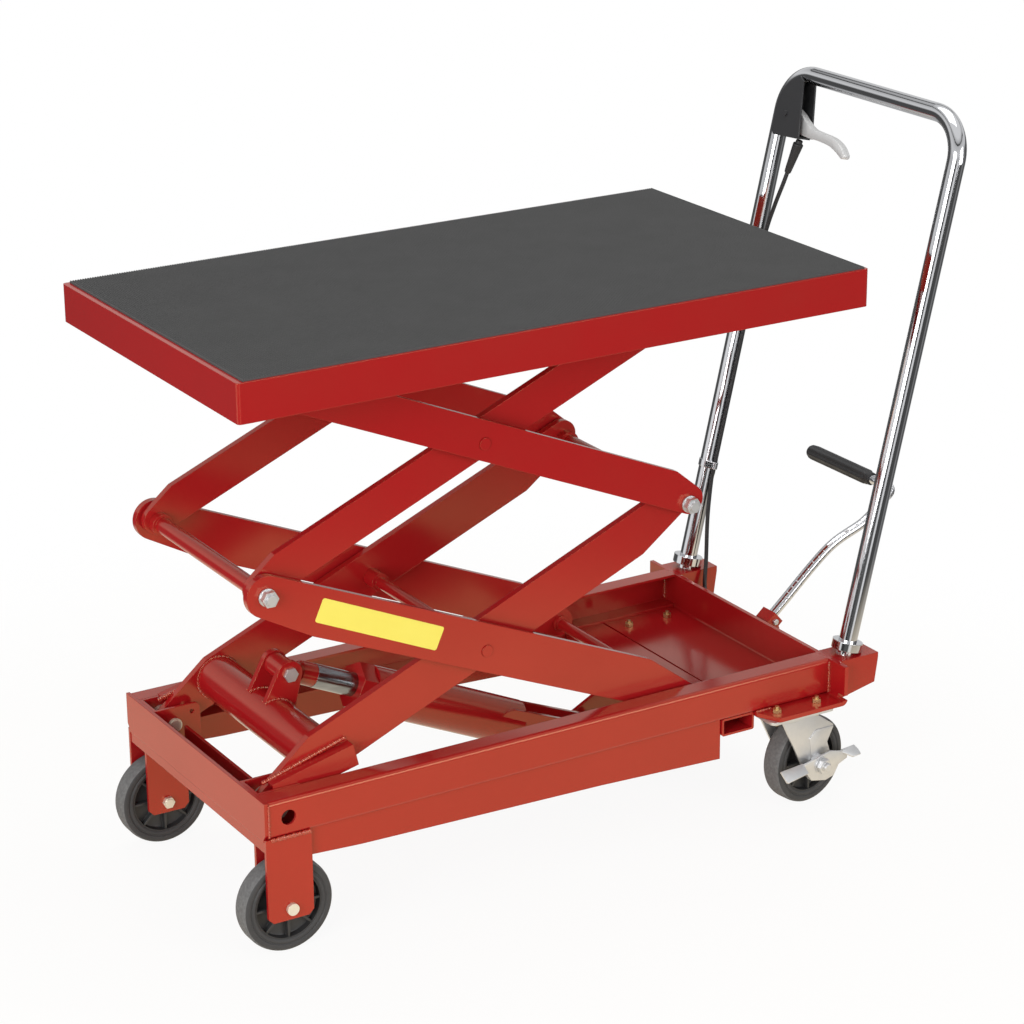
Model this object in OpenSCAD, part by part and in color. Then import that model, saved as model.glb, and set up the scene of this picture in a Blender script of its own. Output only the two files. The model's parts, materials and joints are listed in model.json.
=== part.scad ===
// Double scissor lift table: a ribbed platform on two stacked scissors, lifted by a foot pump.
// Millimetres, +Z up, the push handle at +X. "Left" is the side at -Y, as seen from behind the handle.

/* [Platform] */
// Length of the platform
platform_l = 905; // [700:5:1200]
// Width of the platform
platform_w = 500; // [460:5:700]
// Height of the platform's turned-down skirt
platform_h = 50; // [49:1:80]
// Thickness of the platform's sheet
platform_t = 3; // [2:0.5:5]
// Thickness of the rubber mat
mat_t = 3; // [2:0.5:6]
// Red rim left bare around the mat's ends
mat_rim = 9; // [4:1:30]
// X of the platform's centre
platform_x = -121; // [-160:1:-80]

/* [Base] */
// X of the front member's outer face
front_x = -537; // [-560:1:-520]
// Length of the base from the front member to the rear plate
base_l = 866; // [840:1:900]
// Width of the base over the rails
base_w = 406; // [400:2:420]
// Height of the rails' top face above the floor
rail_top = 213; // [208:1:225]
// Height of a rail
rail_h = 50; // [50:1:56]
// Wall of a rail
rail_t = 4; // [3:0.5:4]
// Width of a rail's flanges
rail_flange = 30; // [28:1:31]
// Thickness of the front member's sheet
front_t = 5; // [4:0.5:6]
// Thickness of the rear deck's sheet
deck_t = 6; // [4:0.5:6]
// Length of the rear deck
deck_l = 128; // [122:1:134]
// Width of the rear deck
deck_w = 476; // [466:2:490]
// Depth of the skirt plates at their rear end
skirt_rear = 58; // [40:1:60]
// Depth of the skirt plates at their front end
skirt_front = 41; // [30:1:50]

/* [Scissor] */
// Distance between an arm's end pivots
arm_l = 678; // [660:1:690]
// Depth of the lower arms' flat bar
arm_h = 63; // [58:1:66]
// Depth of the upper arms' flat bar
upper_arm_h = 51; // [47:1:55]
// Thickness of the arms' flat bar
arm_t = 10; // [8:0.5:10]
// Offset of the end pivots from the bar's centreline
arm_offset = 8; // [6:0.5:10]
// Length of the chamfer at a lower arm's ends
arm_chamfer = 82; // [72:1:90]
// Length of the chamfer at an upper arm's ends
upper_chamfer = 36; // [30:1:42]
// Angle of the arms in the drawn position
arm_angle = 24.3; // [22:0.1:27]
// Lowest angle of the arms, a little above the stop angles
arm_low = 6.6; // [6:0.1:8]
// Diameter of the pivot pins
pin_d = 16; // [12:1:18]
// Diameter of a roller
roller_d = 40; // [36:1:41]
// Width of a roller
roller_w = 21; // [16:1:21]
// Diameter of the lift tube
lift_tube_d = 60; // [50:1:64]

/* [Lifting] */
// Diameter of the cylinder's rod
rod_d = 32; // [26:1:34]
// Diameter of the cylinder's barrel
barrel_d = 64; // [60:1:68]
// Length of the cylinder's barrel
barrel_l = 246; // [230:1:255]
// Diameter of the pedal bar
pedal_bar_d = 14; // [10:1:18]
// Diameter of the pedal's rubber grip
grip_d = 23; // [20:1:30]
// Length of the pedal's rubber grip
grip_l = 150; // [100:1:160]

/* [Running gear] */
// Diameter of the wheels
wheel_d = 125; // [115:1:125]
// Width of a front wheel
front_wheel_w = 30; // [24:1:30]
// Width of a caster wheel
caster_wheel_w = 32; // [26:1:32]
// Offset of a caster's wheel behind its swivel axis
caster_trail = 45; // [38:1:46]
// Swivel angle of the casters in the drawn position
caster_angle = 8; // [0:1:30]

/* [Handle] */
// Diameter of the handle's tube
handle_d = 25; // [22:1:28]
// Height of the handle above the floor
handle_top = 944; // [900:1:1000]
// Distance between the handle's legs
handle_w = 386; // [380:1:400]
// Backward lean of the handle
handle_lean = 13.3; // [8:0.1:18]
// Bend radius of the handle's corners
handle_bend = 57; // [45:1:70]

/* [Fits] */
// Radial clearance of pins in their holes
fit = 0.08; // [0.02:0.01:0.1]
// Side clearance between neighbouring moving plates
side_gap = 0.3; // [0.2:0.05:0.4]

/* [Hidden] */
$fn = 64;
eps = 0.01;
blend = 0.05;

// Base
rail_z0 = rail_top - rail_h;
rail_y1 = base_w / 2;
rail_y0 = rail_y1 - rail_flange;
track_h = rail_h - 2 * rail_t;
rear_x = front_x + base_l;
front_in = front_x + front_t;
front_lip = 19;
deck_x0 = rear_x - deck_l;
deck_z0 = rail_z0 - deck_t;
deck_bend = 9;
tube_w = 52;
tube_h = 25;
tube_t = 3;
tube_x1 = deck_x0 - 0.5;
tube_x0 = tube_x1 - tube_w;
skirt_x0 = front_x + 65;
skirt_x1 = tube_x0 - 1;
skirt_t = 4;

// Scissor pivots, each [x, z]
pivot_x = front_x + 33;
pivot_z = rail_z0 + rail_h / 2;
run = arm_l * cos(arm_angle);
rise = arm_l * sin(arm_angle);
p_front = [pivot_x, pivot_z];
p_low_mid = p_front + [run, rise] / 2;
p_mid_front = p_front + [0, rise];
p_mid_rear = p_front + [run, rise];
p_low_roll = p_front + [run, 0];
p_up_mid = p_mid_front + [run, rise] / 2;
p_up_front = p_front + [0, 2 * rise];
p_up_roll = p_front + [run, 2 * rise];
pin_r = pin_d / 2;
hole_r = pin_r + fit;

// Arm layers across the width
outer_y1 = 165;
outer_y0 = outer_y1 - arm_t;
inner_y1 = outer_y0 - 4;
inner_y0 = inner_y1 - arm_t;
outer_lift = 3.5;
lower_inner_lift = 6.5;
upper_inner_lift = 2;
lower_nose = 21;
upper_nose = 19.5;
roller_r = roller_d / 2;
roller_y1 = rail_y1 - rail_t - 2;
roller_y0 = roller_y1 - roller_w;

// Pivot brackets on the base
bracket_t = 4;
bracket_in = 125;
bracket_out = rail_y0 - 0.5;
bracket_x1 = pivot_x + 38;

// Platform
channel_t = 2.5;
channel_h = track_h + 2 * channel_t;
plate_z0 = p_up_front[1] + track_h / 2 + channel_t;
platform_top = plate_z0 + platform_t;
channel_x0 = platform_x + 146;
channel_x1 = platform_x + 441;
fork_t = 4;
fork_in = 149;
fork_out = outer_y1 + 4;

// Stop angles: height of their top edge over the front pivot, under the outer arm at its lowest
stop_gap = 11.6;
stop_tilt = 2.4;
stop_top = arm_l * sin(arm_low) - (arm_h / 2 + arm_offset - outer_lift) / cos(arm_low) - stop_gap;
stop_s0 = 6;
stop_l = 118;
stop_t = 4;
stop_leg = 30;
stop_y1 = bracket_out - bracket_t - 1;

// Lift tube and cylinder
tube_s = 86;
tube_off = 10.8;
lug_s = 131.7;
lug_off = 55.6;
lug_y0 = 18;
lug_t = 8;
lug_r = 17.5;
eye_r = 15.5;
lug_pin_r = 8;
p_tube = p_front + turn([tube_s, tube_off], arm_angle);
p_lug = p_front + turn([lug_s, lug_off], arm_angle);
p_anchor = [rear_x - 250, 70];
cyl_v = p_anchor - p_lug;
cyl_l = norm(cyl_v);
cyl_a = atan2(cyl_v[1], cyl_v[0]);
gland_l = 30;
gland_x0 = 112;
barrel_x0 = gland_x0 + 24;
barrel_x1 = barrel_x0 + barrel_l;
bore_r = barrel_d / 2 - 5;
rod_end = barrel_x0 + 114;
anchor_r = 9;
anchor_slot = anchor_r + 7;
eye_shift = [1.4, 5.6];
anchor_plate_y = 22;
anchor_plate_t = 8;

// Pump, its cradle and the pedal
cradle_y0 = 52;
cradle_t = 6;
pump_x0 = deck_x0 + 8;
pump_x1 = rear_x - 35;
pump_z1 = deck_z0 - 8;
pump_z0 = pump_z1 - 64;
pedal_y = -30;
pedal_pivot = [rear_x + 22, rail_top - 45];
pedal_pin_r = 7;
pedal_boss_w = 26;
pedal_mouth = pedal_pivot + [2, 46];
pedal_tilt = 41;
crank_end = pedal_pivot + [-3, -46];
plunger_r = 9;
bar_p0 = pedal_mouth;
bar_p1 = [rear_x + 118, rail_top + 81];
bar_p2 = [rear_x + 181, rail_top + 109];
bar_p3 = [rear_x + 233, rail_top + 147];
bar_turn = 16;
pedal_block = 20;
grip_y0 = pedal_y + 52;

// Wheels and casters
wheel_r = wheel_d / 2;
front_wheel_y = rail_y1 - 7 - front_wheel_w / 2;
axle_r = 6;
wfork_t = 5;
wfork_x1 = pivot_x + 31;
wfork_z0 = wheel_r - 15;
caster_x = rear_x - 71;
caster_y = rail_y1 - 21.5;
caster_plate_t = 4;
caster_plate = [104, 110];
caster_bolt = [66, 74];
deck_bolt_r = 3;
deck_nut = 11;
caster_z1 = deck_z0 - caster_plate_t;
caster_hub_w = caster_wheel_w + 12;
caster_leg_t = 3.5;
caster_leg_y = caster_hub_w / 2 + side_gap;
brake_t = 3;
brake_y = caster_leg_y + caster_leg_t + 8;

// Handle
handle_r = handle_d / 2;
handle_x0 = rear_x + 28;
leg_y = handle_w / 2;
handle_v = (handle_top - handle_r - rail_top) / cos(handle_lean);
socket_x1 = rear_x + 66;
socket_w = 48;
collar_h = 12;
collar_r = 21;
leg_v0 = -35;

// Release lever and its bracket, in the handle's own plane [y, v]
rel_gap = handle_r + 0.2;
rel_t = 2.5;
rel_pin = [leg_y - handle_r - 14, handle_v - 60];
rel_pin_r = 4;
rel_bottom = handle_v - 93;
ferrule = [141, rel_bottom + 1.6];
boot_v0 = rel_bottom - 48;

// Cable: a round sheath along hand-chosen points [x, y, z] below the boot
cable_r = 3;
cable_sides = 10;
boot_end = on_handle([153.5, boot_v0], 0);
clip_v = 158;
cable_gap = 0.6;
clip_y = leg_y - handle_r - cable_r - cable_gap;
clip_c = on_handle([clip_y, clip_v], 0);
lean_v = [sin(handle_lean), 0, cos(handle_lean)];
boot_v = unit(boot_end - on_handle(ferrule, 0));
valve = [pump_x1 - 30, cradle_y0, 121];
cable_pts = concat([boot_end - 9 * boot_v, boot_end - 5 * boot_v, boot_end - boot_v],
    [for (q = [[157.5, 158], [165, 186], [172.5, 222], [176, 262], [clip_y - 0.3, 310]])
        on_handle([q[0], handle_v - q[1]], 0)],
    [for (v = [240, 140, 60, 24, 10, -10, -24]) clip_c + v * lean_v],
    [for (q = [[50, 172, 290], [43, 164, 229], [37, 158, 190], [36, 147, 160], [30, 126, 136], [17, 101, 124]])
        [rear_x + q[0], q[1], q[2]]],
    [[rear_x - 12, 82, valve[2]], [valve[0] + 24, 78, valve[2]], valve + [5, 21, 0], valve + [0, 8, 0], valve]);
cable_steps = 3;

// Turns a point [x, z] about the origin by an angle
function turn(p, a) = [p[0] * cos(a) - p[1] * sin(a), p[0] * sin(a) + p[1] * cos(a)];

// A point of the handle's plane, [y, v] and a depth n behind it, in the frame of the part
function on_handle(p, n) = [handle_x0 + p[1] * sin(handle_lean) + n * cos(handle_lean), p[0],
    rail_top + p[1] * cos(handle_lean) - n * sin(handle_lean)];

// A point on a circle of radius r at c where a line from q touches it, on the side given by s
function tangent(q, c, r, s) =
    let (d = q - c, a = atan2(d[1], d[0]) + s * acos(r / norm(d))) c + r * [cos(a), sin(a)];

// A point of a smooth curve through the points p, at piece i and fraction t
function smooth(p, i, t) =
    let (n = len(p) - 1, a = p[max(i - 1, 0)], b = p[i], c = p[i + 1], d = p[min(i + 2, n)])
    0.5 * (2 * b + (c - a) * t + (2 * a - 5 * b + 4 * c - d) * t * t
        + (3 * b - a - 3 * c + d) * t * t * t);

// The smooth curve through p as a list of points, k to a piece
function curve(p, k) = concat([for (i = [0 : len(p) - 2], j = [0 : k - 1]) smooth(p, i, j / k)],
    [p[len(p) - 1]]);

// Unit vector
function unit(v) = v / norm(v);

// Extrudes a side outline (x, z) between two Y planes
module plate_xz(y0, y1) {
    translate([0, y1, 0])
        rotate([90, 0, 0])
            linear_extrude(y1 - y0)
                children();
}

// Extrudes an outline (y, z) between two X planes
module plate_yz(x0, x1) {
    translate([x0, 0, 0])
        rotate([90, 0, 90])
            linear_extrude(x1 - x0)
                children();
}

// A round bar along Y at p = [x, z]
module rod_y(p, r, y0, y1) {
    translate([p[0], y1, p[1]])
        rotate([90, 0, 0])
            cylinder(h = y1 - y0, r = r);
}

// A hexagon bar along Y at p = [x, z], with its distance across flats
module hex_y(p, across, y0, y1) {
    translate([p[0], y1, p[1]])
        rotate([90, 0, 0])
            cylinder(h = y1 - y0, r = across / sqrt(3), $fn = 6);
}

// Its children, and again mirrored to the left side
module both_sides() {
    children();
    mirror([0, 1, 0])
        children();
}

// A box from one corner to the other
module block(a, b) {
    translate(a)
        cube(b - a);
}

// A plate between two round ends, as a flat outline
module link(a, ra, b, rb) {
    d = b - a;
    n = norm(d);
    t = atan2(d[1], d[0]);
    s = acos((ra - rb) / n);
    polygon([a + ra * [cos(t + s), sin(t + s)], b + rb * [cos(t + s), sin(t + s)],
        b + rb * [cos(t - s), sin(t - s)], a + ra * [cos(t - s), sin(t - s)]]);
    translate(a)
        circle(ra);
    translate(b)
        circle(rb);
}

// A rectangle with rounded corners, as a flat outline
module rounded(a, b, r) {
    translate([a[0] + r, a[1]])
        square([b[0] - a[0] - 2 * r, b[1] - a[1]]);
    translate([a[0], a[1] + r])
        square([b[0] - a[0], b[1] - a[1] - 2 * r]);
    for (x = [a[0] + r, b[0] - r], y = [a[1] + r, b[1] - r])
        translate([x, y])
            circle(r);
}

// Outline of a C-channel open towards -Y, [y, z], with rounded outer corners
module channel_outline(y0, y1, z0, h, t, r) {
    difference() {
        union() {
            translate([y0, z0])
                square([y1 - y0 - r, h]);
            translate([y0, z0 + r])
                square([y1 - y0, h - 2 * r]);
            for (z = [z0 + r, z0 + h - r])
                translate([y1 - r, z])
                    circle(r);
        }
        translate([y0 - 1, z0 + t])
            square([y1 - y0 - t + 1, h - 2 * t]);
    }
}

// An arm laid flat: end pivots at [0, 0] and [arm_l, 0], the bar's centreline c[0] and c[1] above them,
// noses of radius r[0] and r[1] and one chamfer of length k at each end
module arm(h, c, k, r) {
    tilt = atan2(c[1] - c[0], arm_l);
    p0 = turn([0, -c[0]], -tilt);
    p1 = turn([arm_l, -c[0]], -tilt);
    flip = [p0[0] + p1[0], 0];
    n0 = [p0[0], r[0] - h / 2];
    n1 = [p1[0], h / 2 - r[1]];
    q = [p0[0] + k, h / 2];
    t0 = tangent(q, n0, r[0], 1);
    t1 = flip - tangent(q, flip - n1, r[1], 1);
    translate([0, c[0], 0])
        rotate([0, 0, tilt])
            difference() {
                union() {
                    linear_extrude(arm_t)
                        polygon([t0, q, [n1[0], h / 2], t1, flip - q, [n0[0], -h / 2]]);
                    translate(n0)
                        cylinder(h = arm_t, r = r[0] + blend);
                    translate(n1)
                        cylinder(h = arm_t, r = r[1] + blend);
                }
                for (p = [p0, (p0 + p1) / 2, p1])
                    translate([p[0], p[1], -1])
                        cylinder(h = arm_t + 2, r = hole_r);
            }
}

// An arm that rises to the rear, from its front pivot p
module rising_arm(p, h, lift, k, r) {
    translate([p[0], inner_y1, p[1]])
        rotate([90, 0, 0])
            rotate([0, 0, arm_angle])
                arm(h, [lift + arm_offset, lift - arm_offset], k, r);
}

// An arm that falls to the rear, from its front pivot p
module falling_arm(p, h, k, r) {
    translate([p[0], outer_y1, p[1]])
        rotate([90, 0, 0])
            rotate([0, 0, -arm_angle])
                mirror([0, 1, 0])
                    arm(h, [arm_offset - outer_lift, -arm_offset - outer_lift], k, r);
}

// Places its children's outline along the stop's top edge, which lies along the outer arm at its lowest
module at_stop() {
    translate(p_front)
        rotate(arm_angle - arm_low)
            translate([0, stop_top])
                rotate(stop_tilt - arm_low)
                    translate([stop_s0, 0])
                        children();
}

// Stop angle welded to the outer face of a lower inner arm, its leg cut away round the front pivot
module stop_angle() {
    plate_xz(inner_y1 - eps, stop_y1)
        at_stop()
            translate([0, -stop_t])
                square([stop_l, stop_t]);
    plate_xz(stop_y1 - stop_t, stop_y1)
        at_stop()
            polygon([[0, 0], [stop_l, 0], [stop_l, -stop_leg], [46, -stop_leg], [18, -14], [0, -9]]);
}

module side_rail() {
    color("firebrick")
        difference() {
            plate_yz(front_in, rear_x - deck_t)
                channel_outline(rail_y0, rail_y1, rail_z0, rail_h, rail_t, 6);
            rod_y(p_front, 10, rail_y1 - rail_t - 1, rail_y1 + 1);
            plate_xz(rail_y0 - 1, rail_y1 + 1)
                deck_corner();
        }
}

// Corner cut off a rail's foot, where the deck bends up into the rear plate
module deck_corner() {
    x = rear_x - deck_t;
    c = deck_bend - deck_t;
    polygon([[x - c, rail_z0 - 1], [x + 1, rail_z0 - 1], [x + 1, rail_z0 + c], [x, rail_z0 + c], [x - c, rail_z0]]);
}

module side_rail_left() {
    mirror([0, 1, 0])
        side_rail();
}

module side_rail_right() {
    side_rail();
}

module skirt_plates() {
    y0 = rail_y1 - 10;
    x1 = skirt_x1;
    x0 = skirt_x0;
    color("firebrick")
        both_sides()
            plate_xz(y0, y0 + skirt_t)
                polygon([[x0, rail_z0], [x1, rail_z0], [x1, rail_z0 - skirt_rear],
                    [x1 - 190, rail_z0 - skirt_rear + 8], [x0 + 70, rail_z0 - skirt_front],
                    [x0, rail_z0 - skirt_front + 4]]);
}

module front_cross_member() {
    y1 = rail_y1;
    y2 = rail_y1 - wfork_t - 0.3;
    z1 = rail_top;
    z0 = rail_z0;
    color("firebrick") {
        plate_yz(front_x, front_in)
            polygon([[-y1, z1], [y1, z1], [y1, z0 + 7], [y2, z0], [y2, z0 - 4], [-y2, z0 - 4], [-y2, z0],
                [-y1, z0 + 7]]);
        block([front_x + 1.5, -y2, z0 - front_lip], [front_in, y2, z0 - 2]);
        block([front_in - eps, -bracket_in + 1, z0], [front_in + 40, bracket_in - 1, z0 + rail_t]);
        block([front_in + 36, 13 - bracket_in, z0], [front_in + 40, bracket_in - 13, z0 + 27]);
        both_sides()
            block([front_in - eps, bracket_in - 1 - eps, z0],
                [front_in + 40, rail_y0 - 0.5, z0 + rail_t]);
    }
}

module rear_deck() {
    h = deck_w / 2;
    r = deck_bend;
    color("firebrick")
        difference() {
            intersection() {
                plate_xz(-h, h) {
                    translate([deck_x0, deck_z0])
                        square([deck_l - r, deck_t]);
                    translate([rear_x - deck_t, deck_z0 + r])
                        square([deck_t, rail_top - deck_z0 - r]);
                    translate([rear_x - r, deck_z0 + r])
                        difference() {
                            circle(r);
                            circle(r - deck_t);
                            translate([-2 * r, -2 * r])
                                square([2 * r, 4 * r]);
                            translate([-2 * r, 0])
                                square([4 * r, 2 * r]);
                        }
                }
                plate_yz(deck_x0 - 1, rear_x + 1) {
                    translate([-h, deck_z0 + 14])
                        square([2 * h, rail_top]);
                    translate([14 - h, deck_z0 - 1])
                        square([2 * h - 28, 40]);
                    both_sides()
                        translate([h - 14, deck_z0 + 14])
                            circle(14);
                    translate([-h, deck_z0 - 1])
                        square([2 * h, 8]);
                }
            }
            both_sides()
                translate([0, 0, deck_z0 - 1])
                    linear_extrude(deck_t + 2)
                        polygon([[deck_x0 - 1, rail_y1], [deck_x0 + 17, h + 1], [deck_x0 - 1, h + 1]]);
            caster_bolt_places()
                translate([0, 0, deck_z0 - 1])
                    cylinder(h = deck_t + 2, r = deck_bolt_r + fit);
        }
}

module rear_cross_tube() {
    color("firebrick")
        both_sides()
            plate_yz_tube();
}

// Half of the rear cross tube, up to the middle
module plate_yz_tube() {
    plate_xz(-eps, rail_y1 - 3)
        difference() {
            rounded([tube_x0, rail_z0 - tube_h], [tube_x1, rail_z0], 3);
            rounded([tube_x0 + tube_t, rail_z0 - tube_h + tube_t], [tube_x1 - tube_t, rail_z0 - tube_t], 1);
        }
}

module pivot_brackets() {
    z0 = rail_z0 + rail_t;
    color("firebrick")
        both_sides() {
            difference() {
                union() {
                    for (y = [bracket_in, bracket_out - bracket_t])
                        plate_xz(y, y + bracket_t) {
                            translate([front_in, z0])
                                square([bracket_x1 - front_in, rail_top - z0 - 8]);
                            translate([front_in, z0])
                                square([bracket_x1 - front_in - 8, rail_top - z0]);
                            translate([bracket_x1 - 8, rail_top - 8])
                                circle(8);
                        }
                    block([front_in, bracket_in, z0], [front_in + bracket_t, bracket_out, rail_top]);
                }
                rod_y(p_front, hole_r, bracket_in - 1, bracket_out + 1);
                rod_y(p_front + [26, 14], 3, bracket_in - 1, bracket_out + 1);
            }
        }
}

module wheel_forks() {
    color("firebrick")
        both_sides()
            for (q = [[rail_y1 - wfork_t, front_x + 0.5],
                [front_wheel_y - front_wheel_w / 2 - 2 - wfork_t, front_in + 0.3]])
                plate_xz(q[0], q[0] + wfork_t)
                    difference() {
                        polygon([[q[1], rail_z0], [wfork_x1, rail_z0], [wfork_x1, wfork_z0 + 7],
                            [wfork_x1 - 7, wfork_z0], [q[1] + 7, wfork_z0], [q[1], wfork_z0 + 7]]);
                        translate([pivot_x, wheel_r])
                            circle(axle_r + fit);
                    }
}

module base_pins() {
    axle = [pivot_x, wheel_r];
    yi = front_wheel_y - front_wheel_w / 2 - 2 - wfork_t;
    color("lightgray")
        both_sides() {
            rod_y(axle, axle_r, yi - 7, rail_y1 + 1);
            rod_y(axle, 8, rail_y1 + 0.1, rail_y1 + 5);
            hex_y(axle, 14.5, yi - 5.5, yi - 0.1);
            rod_y(p_anchor, anchor_r, -eps, cradle_y0 + cradle_t + 2);
            rod_y(p_anchor, 12.5, cradle_y0 + cradle_t + 0.2, cradle_y0 + cradle_t + 7);
            rod_y(p_front, pin_r, bracket_in - 5, bracket_out + 1);
            rod_y(p_front, 12.5, bracket_out + 0.2, bracket_out + 6);
            rod_y(p_front, pin_r + 2, bracket_in - 2.5, bracket_in - 0.2);
            difference() {
                union() {
                    rod_y(p_front, 13, bracket_in + bracket_t + side_gap, inner_y0 - side_gap);
                    rod_y(p_front, 13, inner_y1 + side_gap, bracket_out - bracket_t - side_gap);
                }
                rod_y(p_front, hole_r, bracket_in, bracket_out);
            }
        }
}

module handle_sockets() {
    color("firebrick")
        both_sides()
            difference() {
                plate_xz(leg_y - socket_w / 2, leg_y + socket_w / 2)
                    polygon([[rear_x, rail_top - 0.5], [socket_x1, rail_top - 0.5], [socket_x1, rail_top - 8],
                        [socket_x1 - 5, rail_top - 43], [rear_x, rail_top - 56]]);
                translate([handle_x0, leg_y, rail_top])
                    rotate([0, handle_lean, 0])
                        translate([0, 0, -40])
                            cylinder(h = 80, r = handle_r + fit);
            }
}

module handle_fittings() {
    color("silver") {
        both_sides()
            translate([handle_x0, leg_y, rail_top])
                rotate([0, handle_lean, 0])
                    difference() {
                        translate([0, 0, 4.6])
                            cylinder(h = collar_h, r = collar_r);
                        translate([0, 0, -10])
                            cylinder(h = 80, r = handle_r + fit);
                    }
        translate([handle_x0, 0, rail_top])
            rotate([0, handle_lean, 0])
                difference() {
                    translate([0, 0, clip_v - 5])
                        linear_extrude(10)
                            difference() {
                                link([0, leg_y], handle_r + 1.3, [0, clip_y], cable_r + 1.7);
                                translate([0, leg_y])
                                    circle(handle_r + fit);
                                translate([0, clip_y])
                                    circle(cable_r + 0.3);
                            }
                }
    }
}

// A straight piece of the handle's tube in its own plane
module tube_ring(wall) {
    difference() {
        circle(handle_r);
        circle(handle_r - wall);
    }
}

module handle() {
    b = handle_bend;
    wall = 2;
    color("silver")
        translate([handle_x0, 0, rail_top])
            rotate([0, handle_lean, 0]) {
                both_sides() {
                    translate([0, leg_y, leg_v0])
                        linear_extrude(handle_v - b - leg_v0)
                            tube_ring(wall);
                    translate([0, leg_y - b, handle_v - b])
                        rotate([90, 0, 90])
                            rotate_extrude(angle = 90)
                                translate([b, 0])
                                    tube_ring(wall);
                    translate([0, -eps, handle_v])
                        rotate([-90, 0, 0])
                            linear_extrude(leg_y - b + eps)
                                tube_ring(wall);
                }
            }
}

// Children drawn as an outline [y, v] of the handle's plane, made thick from depth n0 to n1
module handle_plate(n0, n1) {
    translate([handle_x0, 0, rail_top])
        rotate([0, handle_lean, 0])
            plate_yz(n0, n1)
                children();
}

// Outline of a cheek of the release bracket, its free edge from y0 at the foot to y1 at the top
module cheek_outline(y0, y1) {
    b = handle_bend;
    c = [leg_y - b, handle_v - b];
    polygon(concat([[y0, rel_bottom + 5], [y1, handle_v - 10]],
        [for (i = [0 : 8]) c + (b - 2) * [cos(75 - 75 * i / 8), sin(75 - 75 * i / 8)]],
        [[leg_y - 2, rel_bottom + 6], [leg_y - 8, rel_bottom]]));
}

module release_bracket() {
    n = rel_gap;
    color("black")
        difference() {
            union() {
                handle_plate(-n - rel_t, -n)
                    cheek_outline(127, 142);
                handle_plate(n, n + rel_t)
                    cheek_outline(132, 150);
                handle_plate(-n - eps, n + eps)
                    polygon([[135, rel_bottom + 3], [leg_y - handle_r - 2, rel_bottom + 0.2],
                        [leg_y - handle_r - 2, rel_bottom + 3.2], [135, rel_bottom + 6]]);
                handle_plate(-n - rel_t - 2, n + rel_t + 2)
                    translate(rel_pin)
                        circle(rel_pin_r);
            }
        }
}

// The silver hand lever: a tapering S along hand-chosen points [y, v, half depth] below the handle's top
module release_lever() {
    v0 = handle_v;
    p = [[rel_pin[0], rel_pin[1], 12.5], [152, v0 - 65.5, 12.5], [138, v0 - 72, 11.5], [116, v0 - 77.5, 7.5],
        [94, v0 - 78.5, 6.2], [67, v0 - 80.5, 6.4], [48, v0 - 86.5, 6.2], [36, v0 - 94, 4.5]];
    c = curve(p, 4);
    n = len(c) - 1;
    side = [for (i = [0 : n])
        let (d = c[min(i + 1, n)] - c[max(i - 1, 0)], u = unit([-d[1], d[0]])) [u[0], u[1]]];
    color("lightgray")
        difference() {
            union() {
                handle_plate(-6, 6)
                    polygon(concat([for (i = [0 : n]) [c[i][0], c[i][1]] + side[i] * c[i][2]],
                        [for (i = [n : -1 : 0]) [c[i][0], c[i][1]] - side[i] * c[i][2]]));
                for (e = [p[0], p[7]])
                    handle_plate(-6, 6)
                        translate([e[0], e[1]])
                            circle(e[2] + blend);
            }
            handle_plate(-7, 7)
                translate(rel_pin)
                    circle(rel_pin_r + fit);
        }
}

// A round tube swept along a list of points
module sweep(p, r, sides) {
    n = len(p) - 1;
    rings = [for (i = [0 : n])
        let (t = unit(p[min(i + 1, n)] - p[max(i - 1, 0)]), a = unit(cross(t, [0.6, -0.8, 0])),
            b = cross(t, a))
        [for (j = [0 : sides - 1]) p[i] + r * (a * cos(360 * j / sides) + b * sin(360 * j / sides))]];
    pts = [for (ring = rings, q = ring) q];
    polyhedron(points = pts,
        faces = concat([[for (j = [0 : sides - 1]) j]],
            [for (i = [0 : n - 1], j = [0 : sides - 1])
                [i * sides + j, (i + 1) * sides + j, (i + 1) * sides + (j + 1) % sides,
                    i * sides + (j + 1) % sides]],
            [[for (j = [sides - 1 : -1 : 0]) n * sides + j]]));
}

module release_cable() {
    color("dimgray")
        sweep(curve(cable_pts, cable_steps), cable_r, cable_sides);
}

module cable_boot() {
    top = on_handle(ferrule, 0);
    v = boot_end - top;
    color("black")
        translate(top)
            rotate([0, 0, atan2(v[1], v[0])])
                rotate([0, 180 - acos(-v[2] / norm(v)), 0])
                    difference() {
                        union() {
                            translate([0, 0, 1])
                                cylinder(h = 8, r = 5);
                            translate([0, 0, 6])
                                cylinder(h = norm(v) - 6, r1 = 7.5, r2 = 4.8);
                        }
                        translate([0, 0, norm(v) - 9])
                            cylinder(h = 10, r = cable_r + cable_gap);
                    }
}

module pump_body() {
    y = cradle_y0 - 0.5;
    color("dimgray") {
        difference() {
            union() {
                block([pump_x0, -y, pump_z0], [pump_x1, y, pump_z1]);
                translate([pump_x1 - eps, pedal_y, crank_end[1]])
                    rotate([0, 90, 0])
                        cylinder(h = 10, r = 17);
            }
            translate([pump_x1 - 60, pedal_y, crank_end[1]])
                rotate([0, 90, 0])
                    cylinder(h = 80, r = plunger_r + fit);
        }
    }
}

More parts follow.
